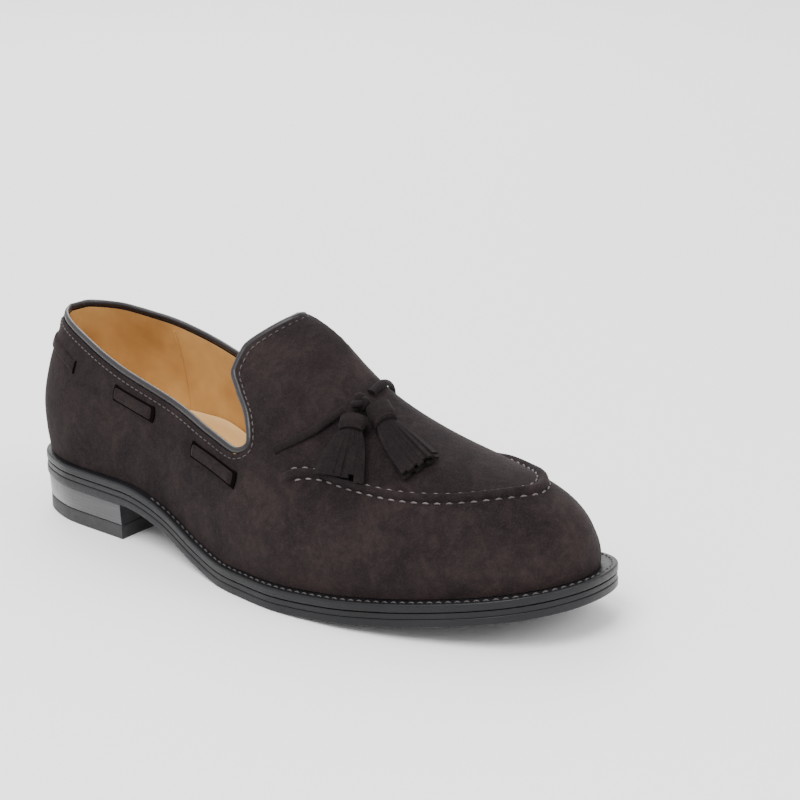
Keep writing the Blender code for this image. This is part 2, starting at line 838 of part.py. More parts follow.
def face_direction(x, y):
    """Outward direction of the upper's top face at a plan point."""
    near = 0.0005
    along = over_upper(x + near, y, 0) - over_upper(x - near, y, 0)
    across = over_upper(x, y + near, 0) - over_upper(x, y - near, 0)
    return along.cross(across).normalized()


def off_upper(x, y, height):
    """A point a height off the upper's top face, square to it."""
    return over_upper(x, y, 0) + face_direction(x, y) * height


def make_vamp_laces():
    for word, route in VAMP_LACES.items():
        points = [off_upper(x, y, height) for x, y, height in route]
        make_cord(f"vamp_lace_{word}", points, CORD_DIAMETER)


def make_knot():
    middle = off_upper(*KNOT_PLACE, KNOT_DIAMETER * 0.46 + CLEARANCE)
    mesh = bpy.data.meshes.new("lace_knot")
    ball = bmesh.new()
    bmesh.ops.create_icosphere(ball, subdivisions=2, radius=KNOT_DIAMETER / 2)
    for vertex in ball.verts:
        vertex.co.z *= 0.84
        vertex.co.x *= 0.92
    ball.to_mesh(mesh)
    ball.free()
    mesh.shade_smooth()
    mesh.materials.append(new_material("lace_knot", LACE_COLOUR, 0.95))
    item = bpy.data.objects.new("lace_knot", mesh)
    out = face_direction(*KNOT_PLACE)
    item.rotation_euler = out.to_track_quat("Z", "X").to_euler()
    item.location = middle
    bpy.context.collection.objects.link(item)


def make_tassel(word, route):
    """Cap and fringe in one solid: a loft down the route, its strips as lobes."""
    plan = [Vector((x, y, 0)) for x, y in route]
    spots = smooth_route(plan, TASSEL_LENGTH / TASSEL_RINGS)
    count = TASSEL_STRIPS * STRIP_POINTS
    middles, frames = [], []
    for k, spot in enumerate(spots):
        down = k / (len(spots) - 1)
        thick = TASSEL_LENGTH * smooth(TASSEL_FORM, "thickness", down)
        out = face_direction(spot.x, spot.y)
        middles.append(off_upper(spot.x, spot.y, thick + 3 * CLEARANCE))
        frames.append((down, out))
    rings = []
    for k, (middle, (down, out)) in enumerate(zip(middles, frames)):
        way = (middles[min(k + 1, len(middles) - 1)] - middles[max(k - 1, 0)]).normalized()
        across = way.cross(out).normalized()
        broad = TASSEL_LENGTH * smooth(TASSEL_FORM, "breadth", down)
        thick = TASSEL_LENGTH * smooth(TASSEL_FORM, "thickness", down)
        depth = STRIP_DEPTH * min(1.0, max(0.0, (down - 0.28) / 0.1))
        ring = []
        for i in range(count):
            angle = 2 * math.pi * i / count
            lobe = 1 + depth * (math.cos(TASSEL_STRIPS * angle) - 1) / 2
            ring.append(middle + across * math.cos(angle) * broad * lobe
                        + out * math.sin(angle) * thick * lobe)
        rings.append(ring)
    points = sum(rings, []) + [middles[0], middles[-1]]
    faces = bands(rings, closed=False)
    last = count * (len(rings) - 1)
    for i in range(count):
        j = (i + 1) % count
        faces.append((len(points) - 2, j, i))
        faces.append((len(points) - 1, last + i, last + j))
    return new_object(f"tassel_{word}", points, faces, LACE_COLOUR, 0.95)


def put_origin_under_middle():
    """Moves every piece so that the origin lies on the floor under the shoe's middle."""
    bpy.context.view_layer.update()
    corners = [item.matrix_world @ Vector(corner)
               for item in bpy.context.scene.objects for corner in item.bound_box]
    middle = Vector([(min(p[k] for p in corners) + max(p[k] for p in corners)) / 2
                     for k in (0, 1)] + [0])
    for item in bpy.context.scene.objects:
        item.location -= middle


def main():
    for item in list(bpy.data.objects):
        bpy.data.objects.remove(item, do_unlink=True)
    make_outsole()
    make_midsole()
    make_welt()
    make_heel()
    make_insole()
    grid = upper_grid()
    make_upper(grid)
    make_binding(grid)
    make_heel_tab()
    make_laces()
    make_vamp_laces()
    make_knot()
    for word, route in TASSEL_ROUTES.items():
        make_tassel(word, route)
    put_origin_under_middle()


main()
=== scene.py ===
"""The tassel loafer's suede, linings, seams, laces, tassels and sole edges.

Metres, +Z up. Shapes are worked out in the shoe's own lengths, from the back of the
sole, and moved to the frame's origin as they are made.
"""
import math

import bpy
import numpy as np
from mathutils import Matrix, Vector


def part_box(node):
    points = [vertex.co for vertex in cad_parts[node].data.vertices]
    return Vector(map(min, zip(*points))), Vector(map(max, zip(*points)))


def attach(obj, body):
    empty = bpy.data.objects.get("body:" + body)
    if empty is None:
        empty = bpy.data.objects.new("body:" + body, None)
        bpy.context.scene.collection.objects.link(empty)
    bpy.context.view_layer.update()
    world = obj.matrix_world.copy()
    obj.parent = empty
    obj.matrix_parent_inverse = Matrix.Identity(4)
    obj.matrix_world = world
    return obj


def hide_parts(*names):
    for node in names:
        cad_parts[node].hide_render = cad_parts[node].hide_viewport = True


bl_info = {
    "name": "Tassel Loafer",
    "version": (1, 0, 0),
    "blender": (4, 5, 0),
    "location": "3D View > Sidebar > Loafer",
    "description": "Dresses the tassel loafer's frame with suede, seams, laces and tassels",
    "category": "Object",
}

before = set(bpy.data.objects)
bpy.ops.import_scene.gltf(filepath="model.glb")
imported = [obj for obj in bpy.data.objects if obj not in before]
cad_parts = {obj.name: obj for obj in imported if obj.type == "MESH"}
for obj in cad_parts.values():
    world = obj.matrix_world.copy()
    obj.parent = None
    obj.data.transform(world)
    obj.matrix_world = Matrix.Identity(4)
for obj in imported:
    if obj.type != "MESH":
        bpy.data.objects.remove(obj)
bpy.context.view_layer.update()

# Driving sizes, as the frame's solids have them
SOLE_LENGTH = 0.300
BALL_WIDTH = 0.105
INSTEP_HEIGHT = 0.107
HEEL_LENGTH = 0.070
HEEL_HEIGHT = 0.0170
SEAT_FALL = 0.0006
LIFT_THICKNESS = 0.0061
OUTSOLE_THICKNESS = 0.0032
MIDSOLE_THICKNESS = 0.0022
WELT_THICKNESS = 0.0037
INSOLE_THICKNESS = 0.0030
UPPER_WALL = 0.0020
CLEARANCE = 0.0003
TREAD_START = 0.148
TOE_SPRING_START = 0.172
TOE_SPRING = 0.0155
TOE_SPRING_POWER = 1.7
TOE_SWING = 0.0086
BACK_INSET = 0.0015
TOE_INSET = 0.0050
RIDGE_HEIGHT = 0.0026
RIDGE_WIDTH = 0.0048
RIDGE_ROUND = 0.62
BINDING_WIDTH = 0.0032
BINDING_HEIGHT = 0.0026
BINDING_GAP = 0.0004
PIPING_SHARE = 0.36
LACE_WIDTH = 0.0050
LACE_THICKNESS = 0.0013
# Margin of painted shadow on each side of a collar lace stretch, a dark patch under its edges
BAR_SHADOW_MARGIN = 0.0007
HEEL_TAB_WIDTH = 0.015
HEEL_TAB_HEIGHT = 0.0054
HEEL_TAB_DROP = 0.0022
HEEL_TAB_THICKNESS = 0.0012
CORD_DIAMETER = 0.0036
KNOT_DIAMETER = 0.0085
TASSEL_LENGTH = 0.036
LATERAL, MEDIAL = -1, 1

# Half breadth of the sole on each side of its centre line, as shares of the ball width
OUTLINE = (
    ("along", "lateral", "medial"),
    (0.000, 0.000, 0.000),
    (0.020, 0.178, 0.168),
    (0.060, 0.262, 0.250),
    (0.120, 0.310, 0.305),
    (0.220, 0.325, 0.322),
    (0.320, 0.348, 0.278),
    (0.420, 0.412, 0.252),
    (0.520, 0.485, 0.318),
    (0.620, 0.520, 0.420),
    (0.700, 0.512, 0.478),
    (0.780, 0.475, 0.480),
    (0.860, 0.410, 0.422),
    (0.930, 0.325, 0.348),
    (0.975, 0.213, 0.240),
    (1.000, 0.000, 0.000),
)

# How far the welt stands out past the upper, in metres
PROTRUSION = (
    ("along", "lateral", "medial"),
    (0.00, 0.0015, 0.0015),
    (0.12, 0.0028, 0.0028),
    (0.30, 0.0032, 0.0030),
    (0.50, 0.0040, 0.0030),
    (0.70, 0.0052, 0.0050),
    (1.00, 0.0050, 0.0050),
)

# Height where the walls of the upper meet, as shares of the instep height, and the
# exponents of the section below it
SECTIONS = (
    ("along", "crest", "rise", "crown"),
    (0.00, 0.98, 2.0, 0.80),
    (0.10, 0.98, 2.0, 0.80),
    (0.22, 1.13, 2.0, 0.78),
    (0.36, 1.09, 2.0, 0.77),
    (0.47, 1.010, 2.0, 0.77),
    (0.50, 0.995, 2.0, 0.77),
    (0.54, 0.948, 2.0, 0.76),
    (0.58, 0.855, 2.0, 0.74),
    (0.62, 0.768, 2.0, 0.69),
    (0.68, 0.682, 2.0, 0.61),
    (0.75, 0.622, 2.0, 0.55),
    (0.82, 0.580, 2.0, 0.51),
    (0.88, 0.552, 2.0, 0.49),
    (1.00, 0.510, 2.0, 0.45),
)

# Rounding of the crest, and the place and power of the toe's cap
CREST_ROUND = 0.012
TOE_CAP_START = 0.84
TOE_CAP_POWER = 2.6

# How far the upper's back lies behind its foot, as shares of the heel height
BACK_CURVE = (
    ("up", "behind"),
    (0.00, 0.00),
    (0.15, 0.13),
    (0.35, 0.21),
    (0.60, 0.10),
    (0.80, -0.12),
    (1.00, -0.42),
)
BACK_CURVE_REACH = 0.24

# The topline from the back over a quarter and up the edge of the tab to its middle
RIM = (
    ("run", "along", "lateral", "medial"),
    (0.00, 0.026, 0.832, 0.832),
    (0.04, 0.036, 0.826, 0.838),
    (0.10, 0.078, 0.798, 0.840),
    (0.18, 0.150, 0.750, 0.808),
    (0.27, 0.220, 0.703, 0.756),
    (0.36, 0.293, 0.660, 0.715),
    (0.45, 0.360, 0.618, 0.674),
    (0.55, 0.432, 0.566, 0.622),
    (0.61, 0.480, 0.543, 0.595),
    (0.65, 0.500, 0.572, 0.618),
    (0.70, 0.484, 0.650, 0.680),
    (0.77, 0.452, 0.728, 0.748),
    (0.84, 0.430, 0.800, 0.812),
    (0.91, 0.434, 0.880, 0.886),
    (0.96, 0.460, 0.955, 0.957),
    (1.00, 0.484, 1.003, 1.003),
)

# Where each strip of the upper, numbered by its turn from back to toe, meets the topline
COLUMNS = (
    ("turn", "run"),
    (0.00, 0.00),
    (0.10, 0.04),
    (0.20, 0.12),
    (0.30, 0.25),
    (0.38, 0.42),
    (0.45, 0.550),
    (0.50, 0.603),
    (0.55, 0.645),
    (0.60, 0.688),
    (0.70, 0.780),
    (0.80, 0.868),
    (0.90, 0.940),
    (1.00, 1.000),
)

# The line that carries the apron seam on round the quarters
SIDE_LINE = (
    ("turn", "along", "up"),
    (0.00, 0.000, 0.54),
    (0.20, 0.092, 0.50),
    (0.30, 0.204, 0.46),
    (0.40, 0.340, 0.42),
    (0.50, 0.480, 0.42),
    (0.55, 0.540, 0.46),
    (0.58, 0.575, 0.50),
)
SEAM_TURN = 0.58
LEAD_TURN = 0.50
SEAM_FADE = 0.018
SEAM_START = 0.585
SEAM_FLARE = 0.0052
FLARE_REACH = 0.22
SEAM_TIP = 0.905
SEAM_BREADTH = 0.071
SEAM_TIP_POWER = 2.2
SEAM_SIDE_POWER = 0.58
CREST_SHIFT = 0.0035
BULGE = 0.03
ROUND_END = 0.3
SPINE_BACK = 0.12
SPINE_FRONT = 0.85
SPINE_RISE = 0.014
EDGE_STEP = 0.0005
WELT_SHELF = 0.0022
HEEL_TAPER = 0.0012
BREAST_HOLLOW = 0.003
RIM_STEP = 0.004

# Laces, as shares of the sole's length and of the instep height
QUARTER_BARS = (
    ("front", (0.394, 0.480), (0.496, 0.430)),
    ("back", (0.213, 0.600), (0.296, 0.558)),
)
MEDIAL_RAISE = 0.025
HEEL_BAR_UP = 0.705
HEEL_BAR_DROP = 0.050
HEEL_BAR_ANGLE = math.radians(82)

# Routes over the vamp: along, out to the medial side, and height over the suede
VAMP_LACES = {
    "lateral": ((0.1668, -0.0318, 0.0025), (0.1742, -0.0276, 0.0027),
                (0.1800, -0.0226, 0.0029), (0.1864, -0.0118, 0.0034)),
    "medial": ((0.1700, 0.0325, 0.0025), (0.1778, 0.0245, 0.0025),
               (0.1848, 0.0135, 0.0025), (0.1888, 0.0012, 0.0032)),
}
LACE_SINK = 0.0012
KNOT_PLACE = (0.1903, -0.0062)
TASSEL_ROUTES = {
    "lateral": ((0.1924, -0.0115), (0.1964, -0.0178), (0.2004, -0.0292)),
    "medial": ((0.1958, -0.0030), (0.2095, -0.0078), (0.2308, -0.0124)),
}
TASSEL_SPREAD = {"lateral": 1.12, "medial": 0.78}
TASSEL_FORM = (
    ("down", "breadth", "thickness"),
    (0.00, 0.100, 0.085),
    (0.03, 0.140, 0.115),
    (0.24, 0.150, 0.120),
    (0.28, 0.130, 0.105),
    (0.34, 0.165, 0.115),
    (0.60, 0.250, 0.095),
    (1.00, 0.335, 0.075),
)
CAP_END = 0.30

# Soft troughs (-) and ridges (+) of the suede: side (0 is both), place along, height,
# half widths, lean and depth in metres
DENTS = (
    (LATERAL, 0.545, 0.52, 0.030, 0.10, 0.35, -0.0007),
    (LATERAL, 0.600, 0.40, 0.035, 0.09, -0.30, -0.0005),
    (LATERAL, 0.655, 0.40, 0.030, 0.09, -0.25, 0.0004),
    (LATERAL, 0.300, 0.42, 0.060, 0.12, 0.20, -0.0005),
    (LATERAL, 0.170, 0.44, 0.050, 0.13, 0.00, 0.0004),
    (MEDIAL, 0.545, 0.54, 0.030, 0.10, 0.35, -0.0007),
    (MEDIAL, 0.620, 0.42, 0.035, 0.09, -0.25, -0.0005),
    (MEDIAL, 0.300, 0.46, 0.060, 0.12, 0.20, -0.0005),
    (0, 0.740, 0.30, 0.090, 0.07, 0.00, -0.0003),
)

# The same for the puckers at the collar lace's slits
SLIT_DENTS = (
    (LATERAL, 0.394, 0.480, 0.010, 0.045, 0.0, -0.0009),
    (LATERAL, 0.496, 0.430, 0.010, 0.045, 0.0, -0.0009),
    (LATERAL, 0.213, 0.600, 0.009, 0.040, 0.0, -0.0008),
    (LATERAL, 0.296, 0.558, 0.009, 0.040, 0.0, -0.0008),
    (LATERAL, 0.372, 0.500, 0.014, 0.040, 0.0, 0.0004),
    (LATERAL, 0.518, 0.430, 0.014, 0.040, 0.0, 0.0004),
    (MEDIAL, 0.394, 0.505, 0.010, 0.045, 0.0, -0.0009),
    (MEDIAL, 0.496, 0.455, 0.010, 0.045, 0.0, -0.0009),
)

# Stitches: pitch, share of it that shows, thickness and rise, in metres
RIM_STITCH = (0.0031, 0.62, 0.00028, 0.0003)
APRON_STITCH = (0.0050, 0.50, 0.00042, 0.0005)
WELT_STITCH = (0.0039, 0.60, 0.00036, 0.0004)
RIM_STITCH_DROP = 0.0022
WELT_STITCH_INSET = 0.0023
WELT_STITCH_START = 0.088

# Laces, slits and holes; the slits, the rings round the holes and the margins round the lace
# stretches are dark patches of painted shadow
BAR_SHADOW_THICKNESS = 0.0006
SLIT_WIDTH = 0.0026
SLIT_TALL = 1.35
SLIT_THICKNESS = 0.00045
PATCH_EDGE = 0.25
PATCH_ROOT = 0.0004
BAR_DIP = 0.0012
HEEL_BAR_DIP = 0.0010
HOLE_SIZE = (0.0030, 0.0022)
HOLE_RIM = 0.0006
CORD_FLATNESS = 0.60
STRIPS = 7
STRIP_HALF = 0.00055
TIE_DOWN = 0.22
TIE_DEPTH = 0.16

# Sole and sock
OUTSOLE_CORNER = 0.0005
MIDSOLE_CORNER = 0.0003
WELT_CORNER = 0.0009
HEEL_CORNER = 0.0006
SOCK_HOLLOW = 0.0006
SOCK_EDGE_UP = (0.0034, 0.0060, 0.0095, 0.0130)
SOCK_EDGE_TOP = 0.0138
SOCK_EDGE_FACES = (0.0002, 0.0006, 0.0010)
LINING_SEAM = 0.165
LINING_SEAM_THICKNESS = 0.0005

# Fineness of the pieces
HALF_COLUMNS = 168
QUARTER_RINGS = 22
RIDGE_RINGS = (-0.62, -0.5, -0.44, -0.34, -0.2, 0.0, 0.2, 0.34, 0.44, 0.5, 0.62)
APRON_RINGS = 25
DENT_FADE = (4, 5)
LOOP_POINTS = 360
STITCH_RINGS = 7
BINDING_SIDES = 14
HALVINGS = 30
NEAR = 0.0005

# Photograph's view of the shoe, in the shoe's own lengths
CAMERA_AZIMUTH = 43.10
CAMERA_ELEVATION = 17.10
CAMERA_ROLL = -1.142
CAMERA_DISTANCE = 1.1763
CAMERA_TARGET = (0.2059, 0.0070, 0.0792)
CAMERA_LENS = 130.64
CAMERA_SHIFT = (-0.0134, 0.0035)


# ---- shape of the last

def curve(rows, column, turned=False):
    """A smooth function through a table's named column, without overshoot."""
    names, *data = rows
    k = names.index(column)
    xs = np.array([row[0] for row in data])
    ys = np.array([row[k] for row in data])
    if turned:
        xs = np.arccos(1 - 2 * xs)
    step = np.diff(xs)
    rise = np.diff(ys) / step
    slopes = np.concatenate([rise[:1], np.zeros(len(xs) - 2), rise[-1:]])
    same = rise[:-1] * rise[1:] > 0
    slopes[1:-1][same] = (2 * rise[:-1] * rise[1:])[same] / (rise[:-1] + rise[1:])[same]

    def at(x):
        x = np.clip(x, xs[0], xs[-1])
        i = np.clip(np.searchsorted(xs, x, side="right") - 1, 0, len(xs) - 2)
        t = (x - xs[i]) / step[i]
        a, b = slopes[i] * step[i], slopes[i + 1] * step[i]
        return (ys[i] * (1 + 2 * t) * (1 - t) ** 2 + a * t * (1 - t) ** 2
                + ys[i + 1] * t * t * (3 - 2 * t) - b * t * t * (1 - t))
    return at


def pair(rows, turned=False):
    """The lateral and the medial function of a table."""
    return curve(rows, "lateral", turned), curve(rows, "medial", turned)


outline_at = pair(OUTLINE, turned=True)
protrusion_at = pair(PROTRUSION)
rim_up = pair(RIM)
rim_along = curve(RIM, "along")
crest_share = curve(SECTIONS, "crest")
rise_at = curve(SECTIONS, "rise")
crown_at = curve(SECTIONS, "crown")
behind_at = curve(BACK_CURVE, "behind")
run_at = curve(COLUMNS, "run")
line_along = curve(SIDE_LINE, "along")
line_up = curve(SIDE_LINE, "up")
tassel_breadth = curve(TASSEL_FORM, "breadth")
tassel_thickness = curve(TASSEL_FORM, "thickness")


def sided(both, side, x):
    """The function of a pair that each point's side calls for."""
    return np.where(side < 0, both[0](x), both[1](x))


def unit(vectors):
    """Vectors at a length of one."""
    length = np.linalg.norm(vectors, axis=-1, keepdims=True)
    return vectors / np.maximum(length, 1e-12)


def points(x, y, z):
    """Points from their three parts."""
    return np.stack(np.broadcast_arrays(x, y, z), axis=-1).astype(float)


def breadth(side, share):
    """Half breadth of the sole on a side."""
    turned = np.arccos(1 - 2 * np.clip(share, 0, 1))
    return BALL_WIDTH * sided(outline_at, side, turned)


def centre(x):
    """The sole's centre line, which swings to the medial side at the toe."""
    return TOE_SWING * (x / SOLE_LENGTH) ** 2


def underside(x):
    """Height of the outsole's underside above the floor."""
    x = np.asarray(x, dtype=float)
    breast = HEEL_HEIGHT - SEAT_FALL
    seat = HEEL_HEIGHT - SEAT_FALL * x / HEEL_LENGTH
    t = np.clip((x - HEEL_LENGTH) / (TREAD_START - HEEL_LENGTH), 0, 1)
    shank = breast * (1 - t * t * (3 - 2 * t))
    spring = np.clip((x - TOE_SPRING_START) / (SOLE_LENGTH - TOE_SPRING_START), 0, None)
    return np.where(x <= HEEL_LENGTH, seat,
                    np.where(x < TREAD_START, shank, TOE_SPRING * spring ** TOE_SPRING_POWER))


def midsole_foot(x):
    return underside(x) + OUTSOLE_THICKNESS + CLEARANCE


def welt_foot(x):
    return midsole_foot(x) + MIDSOLE_THICKNESS + CLEARANCE


def welt_top(x):
    return welt_foot(x) + WELT_THICKNESS


def feather(side, x):
    """Half breadth of the upper where it meets the welt."""
    share = (x - BACK_INSET) / (SOLE_LENGTH - TOE_INSET - BACK_INSET)
    half = breadth(side, share)
    inset = sided(protrusion_at, side, x / SOLE_LENGTH)
    round_end = 1 - (1 - np.minimum(1.0, half / (ROUND_END * BALL_WIDTH))) ** 2
    return np.where((share > 0) & (share < 1), half - inset * round_end, 0.0)


def crest(x):
    """Height at which the walls of the upper meet."""
    foot = welt_top(x) + CLEARANCE
    top = INSTEP_HEIGHT * crest_share(x / SOLE_LENGTH)
    start = TOE_CAP_START * SOLE_LENGTH
    t = np.clip((x - start) / (SOLE_LENGTH - TOE_INSET - start), 0, 1)
    return foot + (top - foot) * (1 - t ** TOE_CAP_POWER) ** (1 / TOE_CAP_POWER)


def wall(side, x, z):
    """Half breadth of the upper's outer face at a height, below zero where there is none."""
    foot = welt_top(x) + CLEARANCE
    head, below = crest(x) - foot, crest(x) - z
    crown = crown_at(x / SOLE_LENGTH)
    rounding = CREST_ROUND * np.maximum(0.0, 2 * crown - 1)
    depth = np.sqrt(np.maximum(below, 0) * (np.maximum(below, 0) + rounding))
    up = np.maximum(0.0, 1 - depth / np.maximum(head, 1e-9))
    back_up = (z - foot) / (RIM[1][2] * INSTEP_HEIGHT - foot)
    reach = np.clip(1 - x / (BACK_CURVE_REACH * SOLE_LENGTH), 0, 1)
    half = feather(side, x + HEEL_HEIGHT * behind_at(back_up) * reach ** 2)
    swell = 1 + BULGE * np.sin(math.pi * np.minimum(1.0, up / 0.5))
    return np.where((head > 0) & (below > 0),
                    half * swell * (1 - up ** rise_at(x / SOLE_LENGTH)) ** crown, -1.0)


def section_centre(x, z):
    """Middle of the upper's section at a height."""
    foot = welt_top(x)
    up = np.clip((z - foot) / (INSTEP_HEIGHT - foot), 0, 1)
    return centre(x) + CREST_SHIFT * up * np.minimum(1.0, x / (0.5 * SOLE_LENGTH))


def spine(x):
    """Points inside the upper from which its face is looked for."""
    x = np.clip(x, SPINE_BACK * SOLE_LENGTH, SPINE_FRONT * SOLE_LENGTH)
    return points(x, centre(x), welt_top(x) + SPINE_RISE)


def on_last(guides):
    """The points of the upper's outer face that guide points lie in line with."""
    start = spine(guides[..., 0])
    way = unit(guides - start)
    near = np.zeros(guides.shape[:-1])
    far = np.full(guides.shape[:-1], INSTEP_HEIGHT * 1.5)
    for _ in range(32):
        middle = (near + far) / 2
        p = start + way * middle[..., None]
        off = p[..., 1] - section_centre(p[..., 0], p[..., 2])
        side = np.where(off < 0, LATERAL, MEDIAL)
        within = np.abs(off) < wall(side, p[..., 0], p[..., 2])
        near, far = np.where(within, middle, near), np.where(within, far, middle)
    return start + way * near[..., None]


def side_point(side, x, z):
    """Points on a side of the upper at places along and heights."""
    half = np.maximum(0.0, wall(side, x, z))
    return points(x, section_centre(x, z) + side * half, z)


def face_out(side, x, z):
    """Way out of the upper's side at points on it."""
    along = side_point(side, x + CLEARANCE, z) - side_point(side, x - CLEARANCE, z)
    up = side_point(side, x, z + CLEARANCE) - side_point(side, x, z - CLEARANCE)
    return unit(np.cross(along, up)) * -np.asarray(side)[..., None]


def rim_guide(side, run):
    """Points on the topline; past either end it goes on down the other side."""
    side, run = np.broadcast_arrays(np.asarray(side), np.asarray(run, dtype=float))
    beyond = (run < 0) | (run > 1)
    side = np.where(beyond, -side, side)
    run = np.where(run < 0, -run, np.where(run > 1, 2 - run, run))
    x = SOLE_LENGTH * rim_along(run)
    z = np.minimum(INSTEP_HEIGHT * sided(rim_up, side, run), crest(x))
    return side_point(side, x, z)


def seam_guide(side, turn):
    """Points on the apron seam, or on the line that carries it on round the quarters."""
    reach = np.sin(math.pi / 2 * np.clip((turn - SEAM_TURN) / (1 - SEAM_TURN), 0, 1))
    x = SOLE_LENGTH * (SEAM_START + (SEAM_TIP - SEAM_START) * reach)
    out = SEAM_BREADTH / 2 * np.maximum(0.0, 1 - reach ** SEAM_TIP_POWER) ** SEAM_SIDE_POWER
    flare = np.where(side < 0, SEAM_FLARE, 0.0)
    out = out + flare * np.maximum(0.0, 1 - reach / FLARE_REACH) ** 2
    low, high = welt_top(x) + CLEARANCE, crest(x)
    for _ in range(HALVINGS):
        z = (low + high) / 2
        wide = wall(side, x, z) > out
        low, high = np.where(wide, z, low), np.where(wide, high, z)
    apron = points(x, section_centre(x, z) + side * out, z)
    lead = np.clip((turn - LEAD_TURN) / (SEAM_TURN - LEAD_TURN), 0, 1) ** 2
    along = SOLE_LENGTH * line_along(turn)
    up = INSTEP_HEIGHT * line_up(turn)
    along = along + (x - SOLE_LENGTH * SIDE_LINE[-1][1]) * lead
    up = up + (z - INSTEP_HEIGHT * SIDE_LINE[-1][2]) * lead
    quarter = side_point(side, along, up)
    return np.where((turn < SEAM_TURN)[..., None], quarter, apron)


def round_shoe(half):
    """Turn and side of each strip of the upper, from the back along the lateral side."""
    turn = np.linspace(0, 1, half + 1)
    turns = np.concatenate([turn, turn[-2:0:-1]])
    sides = np.where(np.arange(2 * half) <= half, LATERAL, MEDIAL)
    return turns, sides


def strips(half):
    """Foot, seam and topline points of each strip, with the ways down and up from the seam."""
    turn, side = round_shoe(half)
    x = BACK_INSET + (SOLE_LENGTH - TOE_INSET - BACK_INSET) * (1 - np.cos(math.pi * turn)) / 2
    foot = points(x, centre(x) + side * feather(side, x), welt_top(x) + CLEARANCE)
    seam = seam_guide(side, turn)
    run = run_at(turn)
    rim = rim_guide(side, run)
    along = rim_guide(side, run + RIM_STEP) - rim_guide(side, run - RIM_STEP)
    off = unit(np.cross(face_out(side, rim[:, 0], rim[:, 2]), along)) * side[:, None]
    edge = rim + off * (BINDING_HEIGHT + BINDING_GAP)
    return {"turn": turn, "side": side, "foot": foot, "seam": seam, "rim": rim, "edge": edge,
            "down": unit(foot - seam), "up": unit(edge - seam)}


def grid_normals(grid, closed=True):
    """Outward directions of a grid of rings of points."""
    if closed:
        along = np.roll(grid, -1, axis=1) - np.roll(grid, 1, axis=1)
    else:
        along = np.gradient(grid, axis=1)
    up = np.gradient(grid, axis=0)
    return unit(np.cross(along, up))


def loop_outline(start, end, half_at, inset=0.0):
    """Plan points of a closed outline moved in by an inset, from the back along the
    lateral side."""
    angle = 2 * math.pi * np.arange(LOOP_POINTS) / LOOP_POINTS
    x = start + (end - start) * (1 - np.cos(angle)) / 2
    side = np.where(angle < math.pi, LATERAL, MEDIAL)
    flat = points(x, centre(x) + side * half_at(side, x), 0.0)
    along = np.roll(flat, -1, axis=0) - np.roll(flat, 1, axis=0)
    square = unit(np.stack([-along[:, 1], along[:, 0], np.zeros(len(flat))], axis=-1))
    return flat + square * inset


def sole_loop(inset=0.0):
    return loop_outline(0.0, SOLE_LENGTH, lambda s, x: breadth(s, x / SOLE_LENGTH), inset)


def feather_loop(inset=0.0):
    return loop_outline(BACK_INSET, SOLE_LENGTH - TOE_INSET, feather, inset)


def over_upper(x, y):
    """Points of the upper's top face above plan points."""
    x, y = np.broadcast_arrays(np.asarray(x, dtype=float), np.asarray(y, dtype=float))
    low, high = welt_top(x), crest(x)
    off = y - section_centre(x, high)
    side = np.where(off < 0, LATERAL, MEDIAL)
    for _ in range(HALVINGS):
        z = (low + high) / 2
        wide = wall(side, x, z) > np.abs(off)
        low, high = np.where(wide, z, low), np.where(wide, high, z)
    return points(x, y, z)


def face_direction(x, y):
    """Way square to the upper's top face above plan points."""
    along = over_upper(x + NEAR, y) - over_upper(x - NEAR, y)
    across = over_upper(x, y + NEAR) - over_upper(x, y - NEAR)
    return unit(np.cross(along, across))


def off_upper(x, y, height):
    """Points a height off the upper's top face, square to it."""
    return over_upper(x, y) + face_direction(x, y) * np.asarray(height)[..., None]


# ---- making pieces

def frame_shift():
    """From the shoe's own lengths to the frame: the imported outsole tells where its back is."""
    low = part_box("outsole")[0]
    flat = sole_loop()
    return np.array([low[0], low[1] - flat[:, 1].min(), 0.0])


SHIFT = frame_shift()


def new_piece(name, verts, faces, materials, slots=None, replaces=(), slot="suede"):
    """A smooth piece that rides on the shoe."""
    mesh = bpy.data.meshes.new(name)
    mesh.from_pydata((np.asarray(verts) + SHIFT).tolist(), [], faces)
    for material in materials:
        mesh.materials.append(material)
    if slots is not None:
        mesh.polygons.foreach_set("material_index", slots)
    mesh.shade_smooth()
    mesh.set_sharp_from_angle(angle=math.radians(50))
    piece = bpy.data.objects.new(name, mesh)
    bpy.context.collection.objects.link(piece)
    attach(piece, "root")
    if replaces:
        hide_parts(*replaces)
    return piece


def around(count):
    """Angles of a ring's points."""
    return 2 * math.pi * np.arange(count) / count


def end_faces(rings, count):
    """One face over each end of a stack of rings."""
    last = count * (rings - 1)
    return [tuple(range(count - 1, -1, -1)), tuple(range(last, last + count))]


def band_faces(rings, count, closed_rings=False):
    """Faces between rings of points; closed rings join the last to the first."""
    faces = []
    for k in range(rings if closed_rings else rings - 1):
        a, b = k * count, ((k + 1) % rings) * count
        for i in range(count):
            j = (i + 1) % count
            faces.append((a + i, a + j, b + j, b + i))
    return faces


def ladder_faces(first, count):
    """Faces over a loop that runs from its back down both sides."""
    faces = [(first, first + 1, first + count - 1)]
    half = count // 2
    for i in range(1, half - 1):
        faces.append((first + i, first + i + 1, first + count - i - 1, first + count - i))
    faces.append((first + half - 1, first + half, first + half + 1))
    return faces


def slab(name, rings, materials, **facts):
    """A piece from a stack of rings, closed over both ends."""
    count = len(rings[0])
    faces = band_faces(len(rings), count)
    faces += [tuple(reversed(face)) for face in ladder_faces(0, count)]
    faces += ladder_faces(count * (len(rings) - 1), count)
    return new_piece(name, np.concatenate(rings), faces, materials, **facts)


def raised(flat, height):
    """Plan points raised to a height that follows their place along."""
    out = flat.copy()
    out[:, 2] = height(flat[:, 0])
    return out


